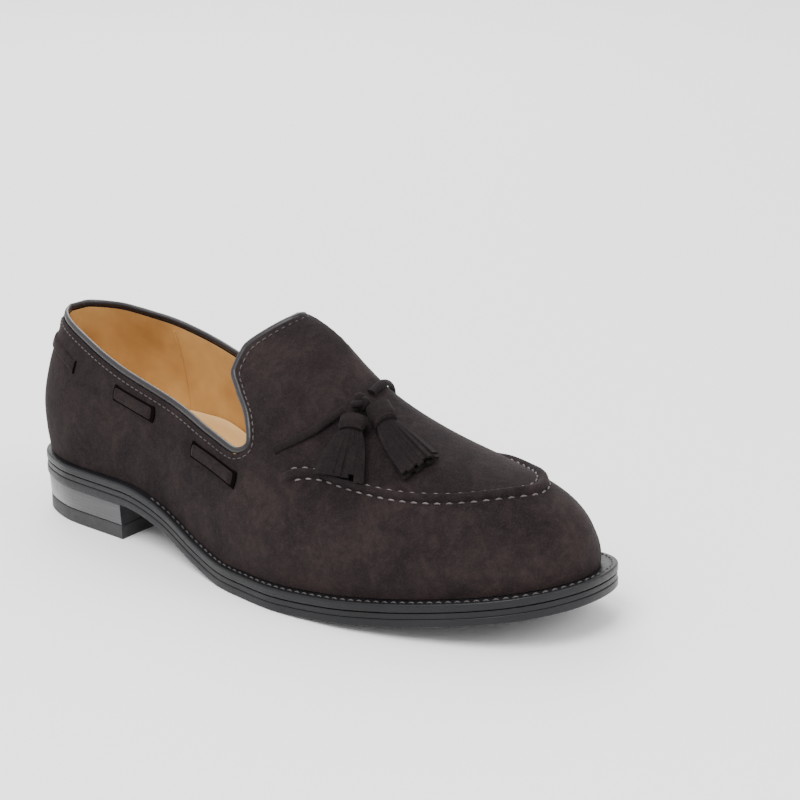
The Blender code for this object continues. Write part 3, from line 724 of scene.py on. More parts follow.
def tube_mesh(path, radius, out, sides=10, closed=False, flat=1.0):
    """Points and faces of a tube along a path. Its radius may change along it, and its
    flat side faces the way that out says."""
    path = np.asarray(path)
    radius = np.broadcast_to(radius, len(path))
    if closed:
        way = unit(np.roll(path, -1, axis=0) - np.roll(path, 1, axis=0))
    else:
        way = unit(np.gradient(path, axis=0))
    across = unit(np.cross(way, out))
    out = unit(np.cross(across, way))
    angle = around(sides)
    ring = (np.cos(angle)[None, :, None] * across[:, None]
            + np.sin(angle)[None, :, None] * out[:, None] * flat)
    verts = (path[:, None] + ring * radius[:, None, None]).reshape(-1, 3)
    faces = band_faces(len(path), sides, closed_rings=closed)
    if not closed:
        faces += end_faces(len(path), sides)
    return verts, faces


def joined(parts):
    """Several point and face lists as one."""
    verts, faces, start = [], [], 0
    for v, f in parts:
        verts.append(np.asarray(v))
        faces += [tuple(i + start for i in face) for face in f]
        start += len(v)
    return np.concatenate(verts), faces


def resample(path, spacing, closed=False):
    """Evenly spaced points on a path."""
    path = np.asarray(path)
    if closed:
        path = np.concatenate([path, path[:1]])
    length = np.concatenate([[0], np.cumsum(np.linalg.norm(np.diff(path, axis=0), axis=1))])
    count = max(2, int(round(length[-1] / spacing)))
    at = np.linspace(0, length[-1], count + 1)
    if closed:
        at = at[:-1]
    return np.stack([np.interp(at, length, path[:, k]) for k in range(3)], axis=-1)


def stitch_row(path, outs, kind, closed=False):
    """A row of short arched stitches of a kind along a path on a face."""
    pitch, share, thickness, rise = kind
    spots = resample(path, pitch, closed)
    lifts = nearest_values(path, outs, spots)
    parts = []
    for i in range(len(spots) - (0 if closed else 1)):
        a, b = spots[i], spots[(i + 1) % len(spots)]
        out = lifts[i]
        t = np.linspace(0.5 - share / 2, 0.5 + share / 2, STITCH_RINGS)[:, None]
        arch = np.sin(np.linspace(0, math.pi, STITCH_RINGS))[:, None]
        line = a + (b - a) * t + out * (arch * rise - thickness * 0.35)
        radius = thickness * (0.62 + 0.38 * arch[:, 0])
        parts.append(tube_mesh(line, radius, np.tile(out, (STITCH_RINGS, 1)), sides=6))
    return joined(parts)


def nearest_values(path, values, spots):
    """Values of the path's points nearest to each spot."""
    path, values = np.asarray(path), np.asarray(values)
    near = [int(np.argmin(np.sum((path - spot) ** 2, axis=1))) for spot in spots]
    return values[near]


# ---- finishes

def shader_group(name, inputs, outputs):
    """A shader node group with named sockets, and its two end nodes."""
    group = bpy.data.node_groups.new(name, "ShaderNodeTree")
    for label, kind, value in inputs:
        socket = group.interface.new_socket(name=label, in_out="INPUT", socket_type=kind)
        socket.default_value = value
    for label, kind in outputs:
        group.interface.new_socket(name=label, in_out="OUTPUT", socket_type=kind)
    return group, group.nodes.new("NodeGroupInput"), group.nodes.new("NodeGroupOutput")


def noise(tree, vector, scale, detail=4.0, roughness=0.55, distortion=0.0):
    node = tree.nodes.new("ShaderNodeTexNoise")
    node.inputs["Scale"].default_value = scale
    node.inputs["Detail"].default_value = detail
    node.inputs["Roughness"].default_value = roughness
    node.inputs["Distortion"].default_value = distortion
    tree.links.new(vector, node.inputs["Vector"])
    return node.outputs["Fac"]


def spread(tree, value, low, high):
    node = tree.nodes.new("ShaderNodeMapRange")
    node.inputs["From Min"].default_value = low
    node.inputs["From Max"].default_value = high
    tree.links.new(value, node.inputs["Value"])
    return node.outputs["Result"]


def blend_colour(tree, share, a, b):
    node = tree.nodes.new("ShaderNodeMix")
    node.data_type = "RGBA"
    for socket, value in (("Factor_Float", share), ("A_Color", a), ("B_Color", b)):
        target = next(i for i in node.inputs if i.identifier == socket)
        if isinstance(value, bpy.types.NodeSocket):
            tree.links.new(value, target)
        else:
            target.default_value = value
    return next(o for o in node.outputs if o.identifier == "Result_Color")


def arithmetic(tree, operation, a, b):
    node = tree.nodes.new("ShaderNodeMath")
    node.operation = operation
    for i, value in enumerate((a, b)):
        if isinstance(value, bpy.types.NodeSocket):
            tree.links.new(value, node.inputs[i])
        else:
            node.inputs[i].default_value = value
    return node.outputs[0]


def bump(tree, height, strength, distance, normal=None):
    node = tree.nodes.new("ShaderNodeBump")
    node.inputs["Strength"].default_value = strength
    node.inputs["Distance"].default_value = distance
    tree.links.new(height, node.inputs["Height"])
    if normal is not None:
        tree.links.new(normal, node.inputs["Normal"])
    return node.outputs["Normal"]


def nap_group():
    """Suede nap: brushed patches, mottling and a fine pile."""
    inputs = (("Dark", "NodeSocketColor", (0.03, 0.02, 0.02, 1)),
              ("Light", "NodeSocketColor", (0.09, 0.07, 0.06, 1)),
              ("Bloom", "NodeSocketColor", (0.12, 0.09, 0.09, 1)))
    outputs = (("Color", "NodeSocketColor"), ("Normal", "NodeSocketVector"))
    group, start, end = shader_group("Suede nap", inputs, outputs)
    place = group.nodes.new("ShaderNodeTexCoord").outputs["Object"]
    patches = spread(group, noise(group, place, 24, 3.0, 0.5, 0.6), 0.42, 0.62)
    brushed = spread(group, noise(group, place, 95, 4.0, 0.6, 1.2), 0.42, 0.62)
    pile = noise(group, place, 1500, 3.0, 0.7)
    tuft = noise(group, place, 420, 3.0, 0.65)
    shade = arithmetic(group, "MULTIPLY_ADD", patches, 0.55)
    group.nodes[-1].inputs[2].default_value = 0.0
    group.links.new(arithmetic(group, "MULTIPLY", brushed, 0.45), shade.node.inputs[2])
    colour = blend_colour(group, shade, start.outputs["Dark"], start.outputs["Light"])
    speck = spread(group, pile, 0.42, 0.72)
    colour = blend_colour(group, arithmetic(group, "MULTIPLY", speck, 0.30), colour,
                          start.outputs["Bloom"])
    dark_speck = arithmetic(group, "MULTIPLY", spread(group, tuft, 0.60, 0.35), 0.35)
    colour = blend_colour(group, dark_speck, colour, start.outputs["Dark"])
    group.links.new(colour, end.inputs["Color"])
    normal = bump(group, tuft, 0.45, 0.0005)
    normal = bump(group, pile, 0.55, 0.0003, normal)
    group.links.new(normal, end.inputs["Normal"])
    return group


def grain_group():
    """Smooth leather: soft tone changes, a fine grain and faint scuffs."""
    inputs = (("Base", "NodeSocketColor", (0.5, 0.3, 0.1, 1)),
              ("Deep", "NodeSocketColor", (0.3, 0.15, 0.05, 1)))
    outputs = (("Color", "NodeSocketColor"), ("Roughness shift", "NodeSocketFloat"),
               ("Normal", "NodeSocketVector"))
    group, start, end = shader_group("Leather grain", inputs, outputs)
    place = group.nodes.new("ShaderNodeTexCoord").outputs["Object"]
    tone = spread(group, noise(group, place, 34, 3.0), 0.38, 0.70)
    colour = blend_colour(group, tone, start.outputs["Base"], start.outputs["Deep"])
    group.links.new(colour, end.inputs["Color"])
    scuff = spread(group, noise(group, place, 160, 6.0, 0.7, 2.0), 0.35, 0.75)
    group.links.new(scuff, end.inputs["Roughness shift"])
    cells = group.nodes.new("ShaderNodeTexVoronoi")
    cells.inputs["Scale"].default_value = 1100
    group.links.new(place, cells.inputs["Vector"])
    normal = bump(group, cells.outputs["Distance"], 0.18, 0.0002)
    group.links.new(normal, end.inputs["Normal"])
    return group


def finish_material(name, group, colours, roughness, sheen=0.0, coat=0.0, layers=None,
                    gloss=0.5):
    """A Principled finish fed by one of the shared groups."""
    material = bpy.data.materials.new(name)
    material.use_nodes = True
    tree = material.node_tree
    surface = tree.nodes["Principled BSDF"]
    look = tree.nodes.new("ShaderNodeGroup")
    look.node_tree = group
    for label, colour in colours.items():
        look.inputs[label].default_value = (*colour, 1)
    tree.links.new(look.outputs["Color"], surface.inputs["Base Color"])
    surface.inputs["Sheen Weight"].default_value = sheen
    surface.inputs["Sheen Roughness"].default_value = 0.30
    surface.inputs["Specular IOR Level"].default_value = gloss
    surface.inputs["Sheen Tint"].default_value = (0.80, 0.68, 0.68, 1)
    surface.inputs["Coat Weight"].default_value = coat
    surface.inputs["Coat Roughness"].default_value = 0.22
    surface.inputs["Roughness"].default_value = roughness
    normal = look.outputs["Normal"]
    if "Roughness shift" in look.outputs:
        swing = tree.nodes.new("ShaderNodeMapRange")
        swing.inputs["To Min"].default_value = roughness - 0.06
        swing.inputs["To Max"].default_value = roughness + 0.10
        tree.links.new(look.outputs["Roughness shift"], swing.inputs["Value"])
        tree.links.new(swing.outputs["Result"], surface.inputs["Roughness"])
    if layers:
        place = tree.nodes.new("ShaderNodeTexCoord").outputs["Object"]
        wave = tree.nodes.new("ShaderNodeTexWave")
        wave.bands_direction = "Z"
        wave.inputs["Scale"].default_value = layers
        wave.inputs["Distortion"].default_value = 0.6
        tree.links.new(place, wave.inputs["Vector"])
        normal = bump(tree, wave.outputs["Fac"], 0.12, 0.0003, normal)
    tree.links.new(normal, surface.inputs["Normal"])
    return material


FINISHES = {}


def make_finishes(sizes):
    """The finishes, kept under plain names."""
    nap, grain = nap_group(), grain_group()
    dark, light = tuple(sizes.suede_dark), tuple(sizes.suede_light)
    bloom = tuple(sizes.suede_bloom)
    lace = tuple(0.72 * c for c in dark)
    FINISHES["suede"] = finish_material(
        "chocolate_suede", nap, {"Dark": dark, "Light": light, "Bloom": bloom}, 0.95, sheen=0.06,
        gloss=0.15)
    FINISHES["lace"] = finish_material(
        "lace_suede", nap, {"Dark": lace, "Light": tuple(0.60 * c for c in light),
                            "Bloom": tuple(0.6 * c for c in bloom)}, 0.92, sheen=0.03,
        gloss=0.15)

    def leather(key, name, base, deep, rough, **more):
        FINISHES[key] = finish_material(name, grain, {"Base": base, "Deep": deep}, rough, **more)
    leather("lining", "tan_lining", tuple(sizes.lining), tuple(sizes.lining_deep), 0.52)
    leather("sock", "pale_sock", (0.72, 0.50, 0.24), (0.64, 0.42, 0.18), 0.58)
    leather("binding", "binding_leather", (0.018, 0.015, 0.017), (0.010, 0.008, 0.009), 0.38,
            coat=0.08, gloss=0.3)
    leather("edge", "sole_edge", tuple(sizes.sole_edge), (0.004, 0.004, 0.005), 0.42,
            coat=0.04, gloss=0.22)
    leather("stack", "heel_stack_edge", (0.020, 0.020, 0.023), (0.013, 0.013, 0.015), 0.34,
            coat=0.35, layers=190)
    leather("lift", "lift_rubber", (0.022, 0.022, 0.024), (0.014, 0.014, 0.015), 0.62)
    leather("thread", "pale_thread", (0.10, 0.085, 0.083), (0.03, 0.025, 0.025), 0.55)
    leather("dark_thread", "dark_thread", (0.055, 0.046, 0.046), (0.025, 0.02, 0.02), 0.6)
    # Near black finish of painted shadow, for the slits, the rings round the lace holes and the
    # margins round the lace stretches
    leather("slit", "slit_shadow", (0.004, 0.003, 0.003), (0.003, 0.002, 0.002), 0.9, gloss=0.0)


# ---- the upper

def ridge_lift(across):
    """Rise of the seam's ridge across its width."""
    return (1 - np.clip(np.abs(2 * across), 0, 1) ** 2) ** RIDGE_ROUND


def dents(grid, side):
    """Soft troughs and ridges of the suede, as heights off the last."""
    x, z = grid[..., 0] / SOLE_LENGTH, grid[..., 2] / INSTEP_HEIGHT
    total = np.zeros(x.shape)
    for which, at, up, wide, tall, lean, height in DENTS + SLIT_DENTS:
        mask = (side == which) if which else 1.0
        u = (x - at) + lean * (z - up)
        total = total + mask * height * np.exp(-(u / wide) ** 2 - ((z - up) / tall) ** 2)
    return total


def upper_grids():
    """Rings of the upper's outer and inner faces from the welt to the topline."""
    rows = strips(HALF_COLUMNS)
    turn, side = rows["turn"], rows["side"]
    fade = 1 - np.clip((turn - SEAM_TURN) / SEAM_FADE, 0, 1)
    raise_by = RIDGE_HEIGHT * np.sqrt(1 - fade * fade)
    foot, seam, edge = rows["foot"], rows["seam"], rows["edge"]
    guides, lifts = [], []
    ridge_foot = seam + rows["down"] * RIDGE_RINGS[-1] * RIDGE_WIDTH
    for share in np.linspace(0, 1, QUARTER_RINGS + 1)[:-1]:
        guides.append(foot + (ridge_foot - foot) * share)
        lifts.append(0 * turn)
    for across in RIDGE_RINGS:
        way = rows["down"] if across < 0 else rows["up"]
        guides.append(seam + way * abs(across) * RIDGE_WIDTH)
        lifts.append(raise_by * ridge_lift(across))
    start = guides[-1]
    for share in np.linspace(0, 1, APRON_RINGS + 1)[1:]:
        guides.append(start + (edge - start) * share)
        lifts.append(0 * turn)
    guides, lifts = np.array(guides), np.array(lifts)
    base = on_last(guides)
    base[0] = foot
    normals = grid_normals(base)
    ring = np.arange(len(base))
    fall = np.clip(ring / DENT_FADE[0], 0, 1) * np.clip(ring[::-1] / DENT_FADE[1], 0, 1)
    shape = dents(base, side) * fall[:, None]
    outer = base + normals * (lifts + shape)[..., None]
    inner = base - normals * (UPPER_WALL - shape)[..., None]
    level = normals[0] * [1, 1, 0]
    inner[0] = foot - unit(level) * UPPER_WALL
    return rows, outer, inner, normals


GRIDS = {}


def make_upper():
    """The suede shell, with its lining as the inner faces."""
    rows, outer, inner, normals = upper_grids()
    GRIDS.update(rows=rows, outer=outer, inner=inner, normals=normals)
    rings, count = outer.shape[:2]
    verts = np.concatenate([outer, inner[::-1]]).reshape(-1, 3)
    faces = band_faces(2 * rings, count, closed_rings=True)
    slots = np.zeros(len(faces), dtype=np.int32)
    slots[rings * count:(2 * rings - 1) * count] = 1
    new_piece("suede_upper", verts, faces, [FINISHES["suede"], FINISHES["lining"]], slots,
              replaces=("upper",))


def make_binding():
    """Piped edge of the topline."""
    outer, inner, normals = GRIDS["outer"], GRIDS["inner"], GRIDS["normals"]
    edge = (outer[-1] + inner[-1]) / 2
    along = unit(np.roll(edge, -1, axis=0) - np.roll(edge, 1, axis=0))
    out = normals[-1]
    off = unit(np.cross(out, along))
    middle = edge + off * (BINDING_GAP + BINDING_HEIGHT / 2)
    angle = around(BINDING_SIDES)
    ring = (out[:, None] * np.cos(angle)[None, :, None] * BINDING_WIDTH * PIPING_SHARE
            + off[:, None] * np.sin(angle)[None, :, None] * (BINDING_HEIGHT + BINDING_GAP) / 2)
    verts = (middle[:, None] + ring).reshape(-1, 3)
    new_piece("collar_piping", verts, band_faces(len(edge), BINDING_SIDES, closed_rings=True),
              [FINISHES["binding"]], replaces=("collar_binding",), slot="binding_leather")


def make_rim_stitches():
    """Row of fine stitches below the piping."""
    outer, normals = GRIDS["outer"], GRIDS["normals"]
    edge, next_ring = outer[-1], outer[-4]
    way = unit(next_ring - edge)
    path = edge + way * RIM_STITCH_DROP
    verts, faces = stitch_row(path, normals[-2], RIM_STITCH, closed=True)
    new_piece("topline_stitches", verts, faces, [FINISHES["dark_thread"]])


def make_seam_stitches():
    """Hand stitches along both sides of the apron's ridge."""
    rows, outer, normals = GRIDS["rows"], GRIDS["outer"], GRIDS["normals"]
    chosen = np.where(rows["turn"] >= SEAM_TURN + SEAM_FADE * 0.5)[0]
    for name, ring in (("apron_stitches_outer", QUARTER_RINGS),
                       ("apron_stitches_inner", QUARTER_RINGS + len(RIDGE_RINGS) - 1)):
        verts, faces = stitch_row(outer[ring][chosen], normals[ring][chosen], APRON_STITCH)
        new_piece(name, verts, faces, [FINISHES["thread"]])


# ---- laces, tab and slits

def patch(name, guides, thickness, material, replaces=(), slot="lace_suede", end_dip=0.0):
    """A strip that lies on the upper, rounded over its edges, through rows of guides."""
    face = on_last(np.asarray(guides))
    rows, cols = face.shape[:2]
    normals = grid_normals(face, closed=False)
    if np.dot(normals[0, 0], face[0, 0] - spine(face[0, 0, 0])) < 0:
        normals = -normals
    u = np.abs(np.linspace(-1, 1, cols))[None, :]
    v = np.abs(np.linspace(-1, 1, rows))[:, None]
    profile = (1 - u ** 6) ** 0.5 * (1 - v ** 24) ** 0.5
    dip = end_dip * np.clip((v - 0.86) / 0.14, 0, 1) ** 2
    top = thickness * (PATCH_EDGE + (1 - PATCH_EDGE) * profile) - dip
    low = face - normals * PATCH_ROOT
    high = face + normals * top[..., None]
    verts = np.concatenate([low.reshape(-1, 3), high.reshape(-1, 3)])
    faces, size = [], rows * cols
    for i in range(rows - 1):
        for j in range(cols - 1):
            a, b = i * cols + j, (i + 1) * cols + j
            faces.append((a, a + 1, b + 1, b))
            faces.append((size + a, size + b, size + b + 1, size + a + 1))
    border = [i * cols for i in range(rows)]
    border += [(rows - 1) * cols + j for j in range(1, cols)]
    border += [i * cols + cols - 1 for i in range(rows - 2, -1, -1)]
    border += list(range(cols - 2, 0, -1))
    for a, b in zip(border, border[1:] + border[:1]):
        faces.append((a, b, size + b, size + a))
    return new_piece(name, verts, faces, [material], replaces=replaces, slot=slot)


def bar_guides(side, start, end, width, reach=0.0):
    """Rows of places along a stretch of the collar lace."""
    share = np.linspace(-reach, 1 + reach, 34)
    x = SOLE_LENGTH * (start[0] + (end[0] - start[0]) * share)
    z = INSTEP_HEIGHT * (start[1] + (end[1] - start[1]) * share)
    across = np.linspace(0.5, -0.5, 9)
    return side_point(side, x[:, None] + 0 * across, z[:, None] + across * width)


def slit_guides(side, place):
    """Rows of places in a slit with rounded ends."""
    x0, z0 = SOLE_LENGTH * place[0], INSTEP_HEIGHT * place[1]
    tall = LACE_WIDTH * SLIT_TALL
    t, u = np.meshgrid(np.linspace(-1, 1, 9), np.linspace(-1, 1, 7), indexing="ij")
    shrink = np.sqrt(np.clip(1 - 0.97 * t * t, 0.03, 1))
    return side_point(side, x0 + u * SLIT_WIDTH / 2 * shrink, z0 + t * tall / 2)


def make_quarter_laces():
    """The collar lace's stretches on the quarters, each with a dark margin of painted shadow
    round its edges, and dark patches of painted shadow in their slits.
    """
    for side, word in ((LATERAL, "lateral"), (MEDIAL, "medial")):
        up = MEDIAL_RAISE if side == MEDIAL else 0.0
        for place, start, end in QUARTER_BARS:
            start, end = (start[0], start[1] + up), (end[0], end[1] + up)
            patch(f"{place}_lace_{word}", bar_guides(side, start, end, LACE_WIDTH),
                  LACE_THICKNESS + 2 * CLEARANCE, FINISHES["suede"],
                  (f"lace_bar_{place}_{word}",), end_dip=BAR_DIP)
            # A near black patch a little wider than the stretch: painted shadow along its edges
            patch(f"{place}_bar_shadow_{word}",
                  bar_guides(side, start, end, LACE_WIDTH + 2 * BAR_SHADOW_MARGIN, reach=0.03),
                  BAR_SHADOW_THICKNESS, FINISHES["slit"])
            # Dark patches of painted shadow in the slits where the lace goes in
            for end_name, spot in (("back", start), ("front", end)):
                patch(f"{place}_slit_{end_name}_{word}",
                      slit_guides(side, spot), SLIT_THICKNESS, FINISHES["slit"])


def heel_guides(angle, rises):
    """Guides round the back of the upper for rows of heights."""
    hub = spine(np.zeros(len(angle)))
    away = points(-np.cos(angle), np.sin(angle), 0.0) * HEEL_LENGTH
    rows = []
    for z in rises:
        lift = z - hub[:, 2]
        for _ in range(7):
            aim = hub + away + points(0 * lift, 0 * lift, lift)
            lift = lift + (z - on_last(aim)[:, 2]) * 1.2
        rows.append(hub + away + points(0 * lift, 0 * lift, lift))
    return np.stack(rows, axis=1)


def make_heel_lace():
    """The collar lace's stretch round the back, with dark patches of painted shadow at its slits.
    """
    angle = np.linspace(-HEEL_BAR_ANGLE, HEEL_BAR_ANGLE, 56)
    middle = INSTEP_HEIGHT * (HEEL_BAR_UP - HEEL_BAR_DROP * (angle / HEEL_BAR_ANGLE) ** 2)
    rises = [middle + across * LACE_WIDTH for across in np.linspace(-0.5, 0.5, 9)]
    patch("heel_lace", heel_guides(angle, rises), LACE_THICKNESS - CLEARANCE,
          FINISHES["suede"], ("lace_bar_heel",), end_dip=HEEL_BAR_DIP)
    # Dark patches of painted shadow in the slits at the stretch's ends
    for word, sign in (("lateral", -1), ("medial", 1)):
        spot = sign * (HEEL_BAR_ANGLE + np.linspace(-0.03, 0.03, 7))
        ends = INSTEP_HEIGHT * (HEEL_BAR_UP - HEEL_BAR_DROP) + 0 * spot
        rises = [ends + t * LACE_WIDTH * 0.62 for t in np.linspace(-1, 1, 9)]
        patch(f"heel_slit_{word}", heel_guides(spot, rises), SLIT_THICKNESS,
              FINISHES["slit"])


def make_heel_tab():
    """The small patch under the topline at the back."""
    top = INSTEP_HEIGHT * RIM[1][2] - BINDING_HEIGHT - HEEL_TAB_DROP
    out = np.linspace(-0.5, 0.5, 13) * HEEL_TAB_WIDTH
    hub = spine(0.0)
    rows = []
    for y in out:
        row = []
        for z in top - HEEL_TAB_HEIGHT * np.linspace(1, 0, 11):
            aim = np.array([hub[0] - HEEL_LENGTH, hub[1] + y, z])
            for _ in range(8):
                found = on_last(aim)
                aim = aim + [0, (hub[1] + y - found[1]) * 1.2, (z - found[2]) * 1.2]
            row.append(aim)
        rows.append(row)
    patch("back_tab", np.array(rows), HEEL_TAB_THICKNESS, FINISHES["suede"], ("heel_tab",),
          slot="suede")


def on_route(route, count):
    """Evenly counted places on a smooth curve through a route's rows."""
    route = np.array(route)
    knots = np.linspace(0, 1, len(route))
    at = np.linspace(0, 1, count)
    names = tuple(str(k) for k in range(route.shape[1]))
    rows = [("at", *names)] + [(t, *row) for t, row in zip(knots, route)]
    return np.stack([curve(rows, name)(at) for name in names], axis=-1)


def smooth_route(route, spacing):
    """Evenly spaced points on a smooth curve through a route."""
    route = np.asarray(route, dtype=float)
    padded = np.concatenate([[2 * route[0] - route[1]], route, [2 * route[-1] - route[-2]]])
    fine = []
    for a, b, c, d in zip(padded, padded[1:], padded[2:], padded[3:]):
        for t in np.arange(20) / 20:
            fine.append(0.5 * (2 * b + (c - a) * t + (2 * a - 5 * b + 4 * c - d) * t * t
                               + (3 * b - a - 3 * c + d) * t ** 3))
    fine.append(route[-1])
    return resample(np.array(fine), spacing)


def make_vamp_laces():
    """The laces from their holes to the knot, each hole with a dark ring of painted shadow."""
    for word, route in VAMP_LACES.items():
        x, y, height = on_route(route, 80).T
        path = resample(off_upper(x, y, height - LACE_SINK), CORD_DIAMETER / 4)
        out = face_direction(path[:, 0], path[:, 1])
        verts, faces = tube_mesh(path, CORD_DIAMETER / 2, out, sides=16, flat=CORD_FLATNESS)
        piece = new_piece(f"vamp_thong_{word}", verts, faces, [FINISHES["lace"]],
                          replaces=(f"vamp_lace_{word}",), slot="lace_suede")
        # A near black ring round the hole: painted shadow of the opening
        hole = over_upper(*path[0, :2])
        out = face_direction(*path[0, :2])
        way = unit(path[1] - path[0])
        across = unit(np.cross(out, way))
        angle = around(24)
        ring = (across * np.cos(angle)[:, None] * HOLE_SIZE[0]
                + np.cross(across, out) * np.sin(angle)[:, None] * HOLE_SIZE[1])
        verts, faces = tube_mesh(hole + ring + out * 0.0001, HOLE_RIM,
                                 np.tile(out, (len(angle), 1)), sides=8, closed=True)
        new_piece(f"lace_hole_shadow_{word}", verts, faces, [FINISHES["slit"]], slot="lace_suede")


def make_knot():
    """The thong's knot: three crossings drawn tight."""
    out = face_direction(*KNOT_PLACE)
    middle = off_upper(*KNOT_PLACE, np.array(KNOT_DIAMETER * 0.46 + CLEARANCE))
    ahead = unit(np.cross(np.cross(out, [1.0, -0.5, 0.0]), out))
    across = np.cross(out, ahead)
    t = np.linspace(0, 2 * math.pi, 120, endpoint=False)
    size = KNOT_DIAMETER * 0.108
    a = np.sin(t) + 2 * np.sin(2 * t)
    b = np.cos(t) - 2 * np.cos(2 * t)
    c = -np.sin(3 * t) * 1.15
    path = middle + (ahead * a[:, None] + across * b[:, None] + out * c[:, None]) * size
    verts, faces = tube_mesh(path, KNOT_DIAMETER * 0.19, unit(path - middle + out * 0.004),
                             sides=14, closed=True)
    new_piece("thong_knot", verts, faces, [FINISHES["lace"]], replaces=("lace_knot",),
              slot="lace_suede")



def make_tassel(word, route):
    """A rolled cap tied round a fringe of cut strips."""
    plan = [np.array([x, y, 0.0]) for x, y in route]
    spots = smooth_route(plan, TASSEL_LENGTH / 40)
    down = np.linspace(0, 1, len(spots))
    thick = TASSEL_LENGTH * tassel_thickness(down)
    broad = TASSEL_LENGTH * tassel_breadth(down) * (1 + (TASSEL_SPREAD[word] - 1) * down)
    out = face_direction(spots[:, 0], spots[:, 1])
    middle = off_upper(spots[:, 0], spots[:, 1], thick + 3 * CLEARANCE)
    way = unit(np.gradient(middle, axis=0))
    across = unit(np.cross(way, out))
    cap = down <= CAP_END
    angle = around(28)
    rolls = 1 + 0.05 * np.cos(angle * 2 + 1.0)
    tie = 1 - TIE_DEPTH * np.exp(-((down[cap] - TIE_DOWN) / 0.02) ** 2)
    ring = (across[cap][:, None] * (np.cos(angle) * rolls)[None, :, None]
            * (broad[cap] * tie)[:, None, None]
            + out[cap][:, None] * (np.sin(angle) * rolls)[None, :, None]
            * (thick[cap] * tie)[:, None, None])
    verts = (middle[cap][:, None] + ring).reshape(-1, 3)
    rings = int(cap.sum())
    parts = [(verts, band_faces(rings, len(angle)) + end_faces(rings, len(angle)))]
    seed = 0.0 if word == "lateral" else 1.7
    fringe = np.where(down >= CAP_END - 0.06)[0]
    for lift, count in ((-0.55, STRIPS - 1), (0.45, STRIPS)):
        for k in range(count):
            share = (k + 0.5) / count * 2 - 1
            wobble = math.sin(5.1 * k + seed + lift)
            stop = int(len(fringe) * (0.97 + 0.03 * math.cos(3.3 * k + seed)))
            rows = fringe[:stop]
            t = (down[rows] - down[fringe[0]]) / (1 - down[fringe[0]])
            half = broad[rows] / count * (1.02 + 0.10 * t) * (1 + 0.05 * wobble)
            height = thick[rows] * (lift + 0.25 * wobble * t)
            arch = -thick[rows] * 0.55 * share ** 2
            place = (middle[rows] + across[rows] * (share * broad[rows] * 0.90)[:, None]
                     + out[rows] * (height + arch)[:, None])
            tilt = -share * 0.55 + 0.28 * wobble * t
            wide = across[rows] * np.cos(tilt)[:, None] + out[rows] * np.sin(tilt)[:, None]
            face = np.cross(wide, way[rows])
            section = ((-1, -0.4), (-0.9, -1), (0.9, -1), (1, -0.4), (1, 0.4), (0.9, 1),
                       (-0.9, 1), (-1, 0.4))
            verts = np.stack([place + wide * (a * half)[:, None] + face * b * STRIP_HALF
                              for a, b in section], axis=1).reshape(-1, 3)
            parts.append((verts, band_faces(len(rows), len(section))
                          + end_faces(len(rows), len(section))))
    verts, faces = joined(parts)
    new_piece(f"fringed_tassel_{word}", verts, faces, [FINISHES["lace"]],
              replaces=(f"tassel_{word}",), slot="lace_suede")


# ---- sole, heel and sock

def edge_rings(inset, low, high, corner, steps=4):
    """Rings of a layer's rounded edge from its underside to its top."""
    rings = []
    for k in range(steps + 1):
        a = math.pi / 2 * k / steps
        rings.append((inset + corner * (1 - math.sin(a)),
                      lambda x, a=a: low(x) + corner * (1 - math.cos(a))))
    for k in range(steps + 1):
        a = math.pi / 2 * k / steps
        rings.append((inset + corner * (1 - math.cos(a)),
                      lambda x, a=a: high(x) - corner * (1 - math.sin(a))))
    return rings


def make_sole():
    """The outsole, midsole and welt."""
    def layer(name, node, inset, low, high, corner):
        rings = [raised(sole_loop(i), h) for i, h in edge_rings(inset, low, high, corner)]
        slab(name, rings, [FINISHES["edge"]], replaces=(node,), slot="sole_leather")
    layer("outsole_edge", "outsole", 0.0, underside,
          lambda x: underside(x) + OUTSOLE_THICKNESS + CLEARANCE / 2, OUTSOLE_CORNER)
    layer("midsole_edge", "midsole", EDGE_STEP * 0.5, lambda x: midsole_foot(x) - CLEARANCE / 3,
          lambda x: midsole_foot(x) + MIDSOLE_THICKNESS + CLEARANCE / 3, MIDSOLE_CORNER)
    under = UPPER_WALL + WELT_SHELF
    rings = [raised(feather_loop(under), welt_foot)]
    rings += [raised(sole_loop(i), h)
              for i, h in edge_rings(0.0, welt_foot, welt_top, WELT_CORNER, 6)]
    rings.append(raised(feather_loop(under), welt_top))
    verts = np.concatenate(rings)
    new_piece("stitched_welt", verts, band_faces(len(rings), len(rings[0]), closed_rings=True),
              [FINISHES["edge"]], replaces=("welt",), slot="sole_leather")


def make_welt_stitches():
    """Stitches on the welt's top, from the waist to the toe."""
    flat = sole_loop(WELT_STITCH_INSET)
    path = raised(flat[flat[:, 0] > WELT_STITCH_START], welt_top)
    ups = np.tile([0.0, 0.0, 1.0], (len(path), 1))
    verts, faces = stitch_row(path, ups, WELT_STITCH)
    new_piece("welt_stitches", verts, faces, [FINISHES["dark_thread"]], slot="sole_leather")


def make_sock():
    """Sock lining over the insole, which turns up at its edge."""
    filler = UPPER_WALL + WELT_SHELF + CLEARANCE
    board = UPPER_WALL + 2 * CLEARANCE
    floor = lambda x: welt_top(x) + CLEARANCE
    top = lambda x: floor(x) + INSOLE_THICKNESS
    rings = [raised(feather_loop(filler), welt_foot), raised(feather_loop(filler), floor),
             raised(feather_loop(board), floor), raised(feather_loop(board), top)]
    for inset in (0.001, 0.003, 0.007, 0.013):
        hollow = SOCK_HOLLOW * min(1.0, inset / 0.007)
        rings.append(raised(feather_loop(board + inset), lambda x, h=hollow: top(x) - h))
    slab("sock_lining", rings, [FINISHES["sock"]], replaces=("insole",), slot="sock_leather")


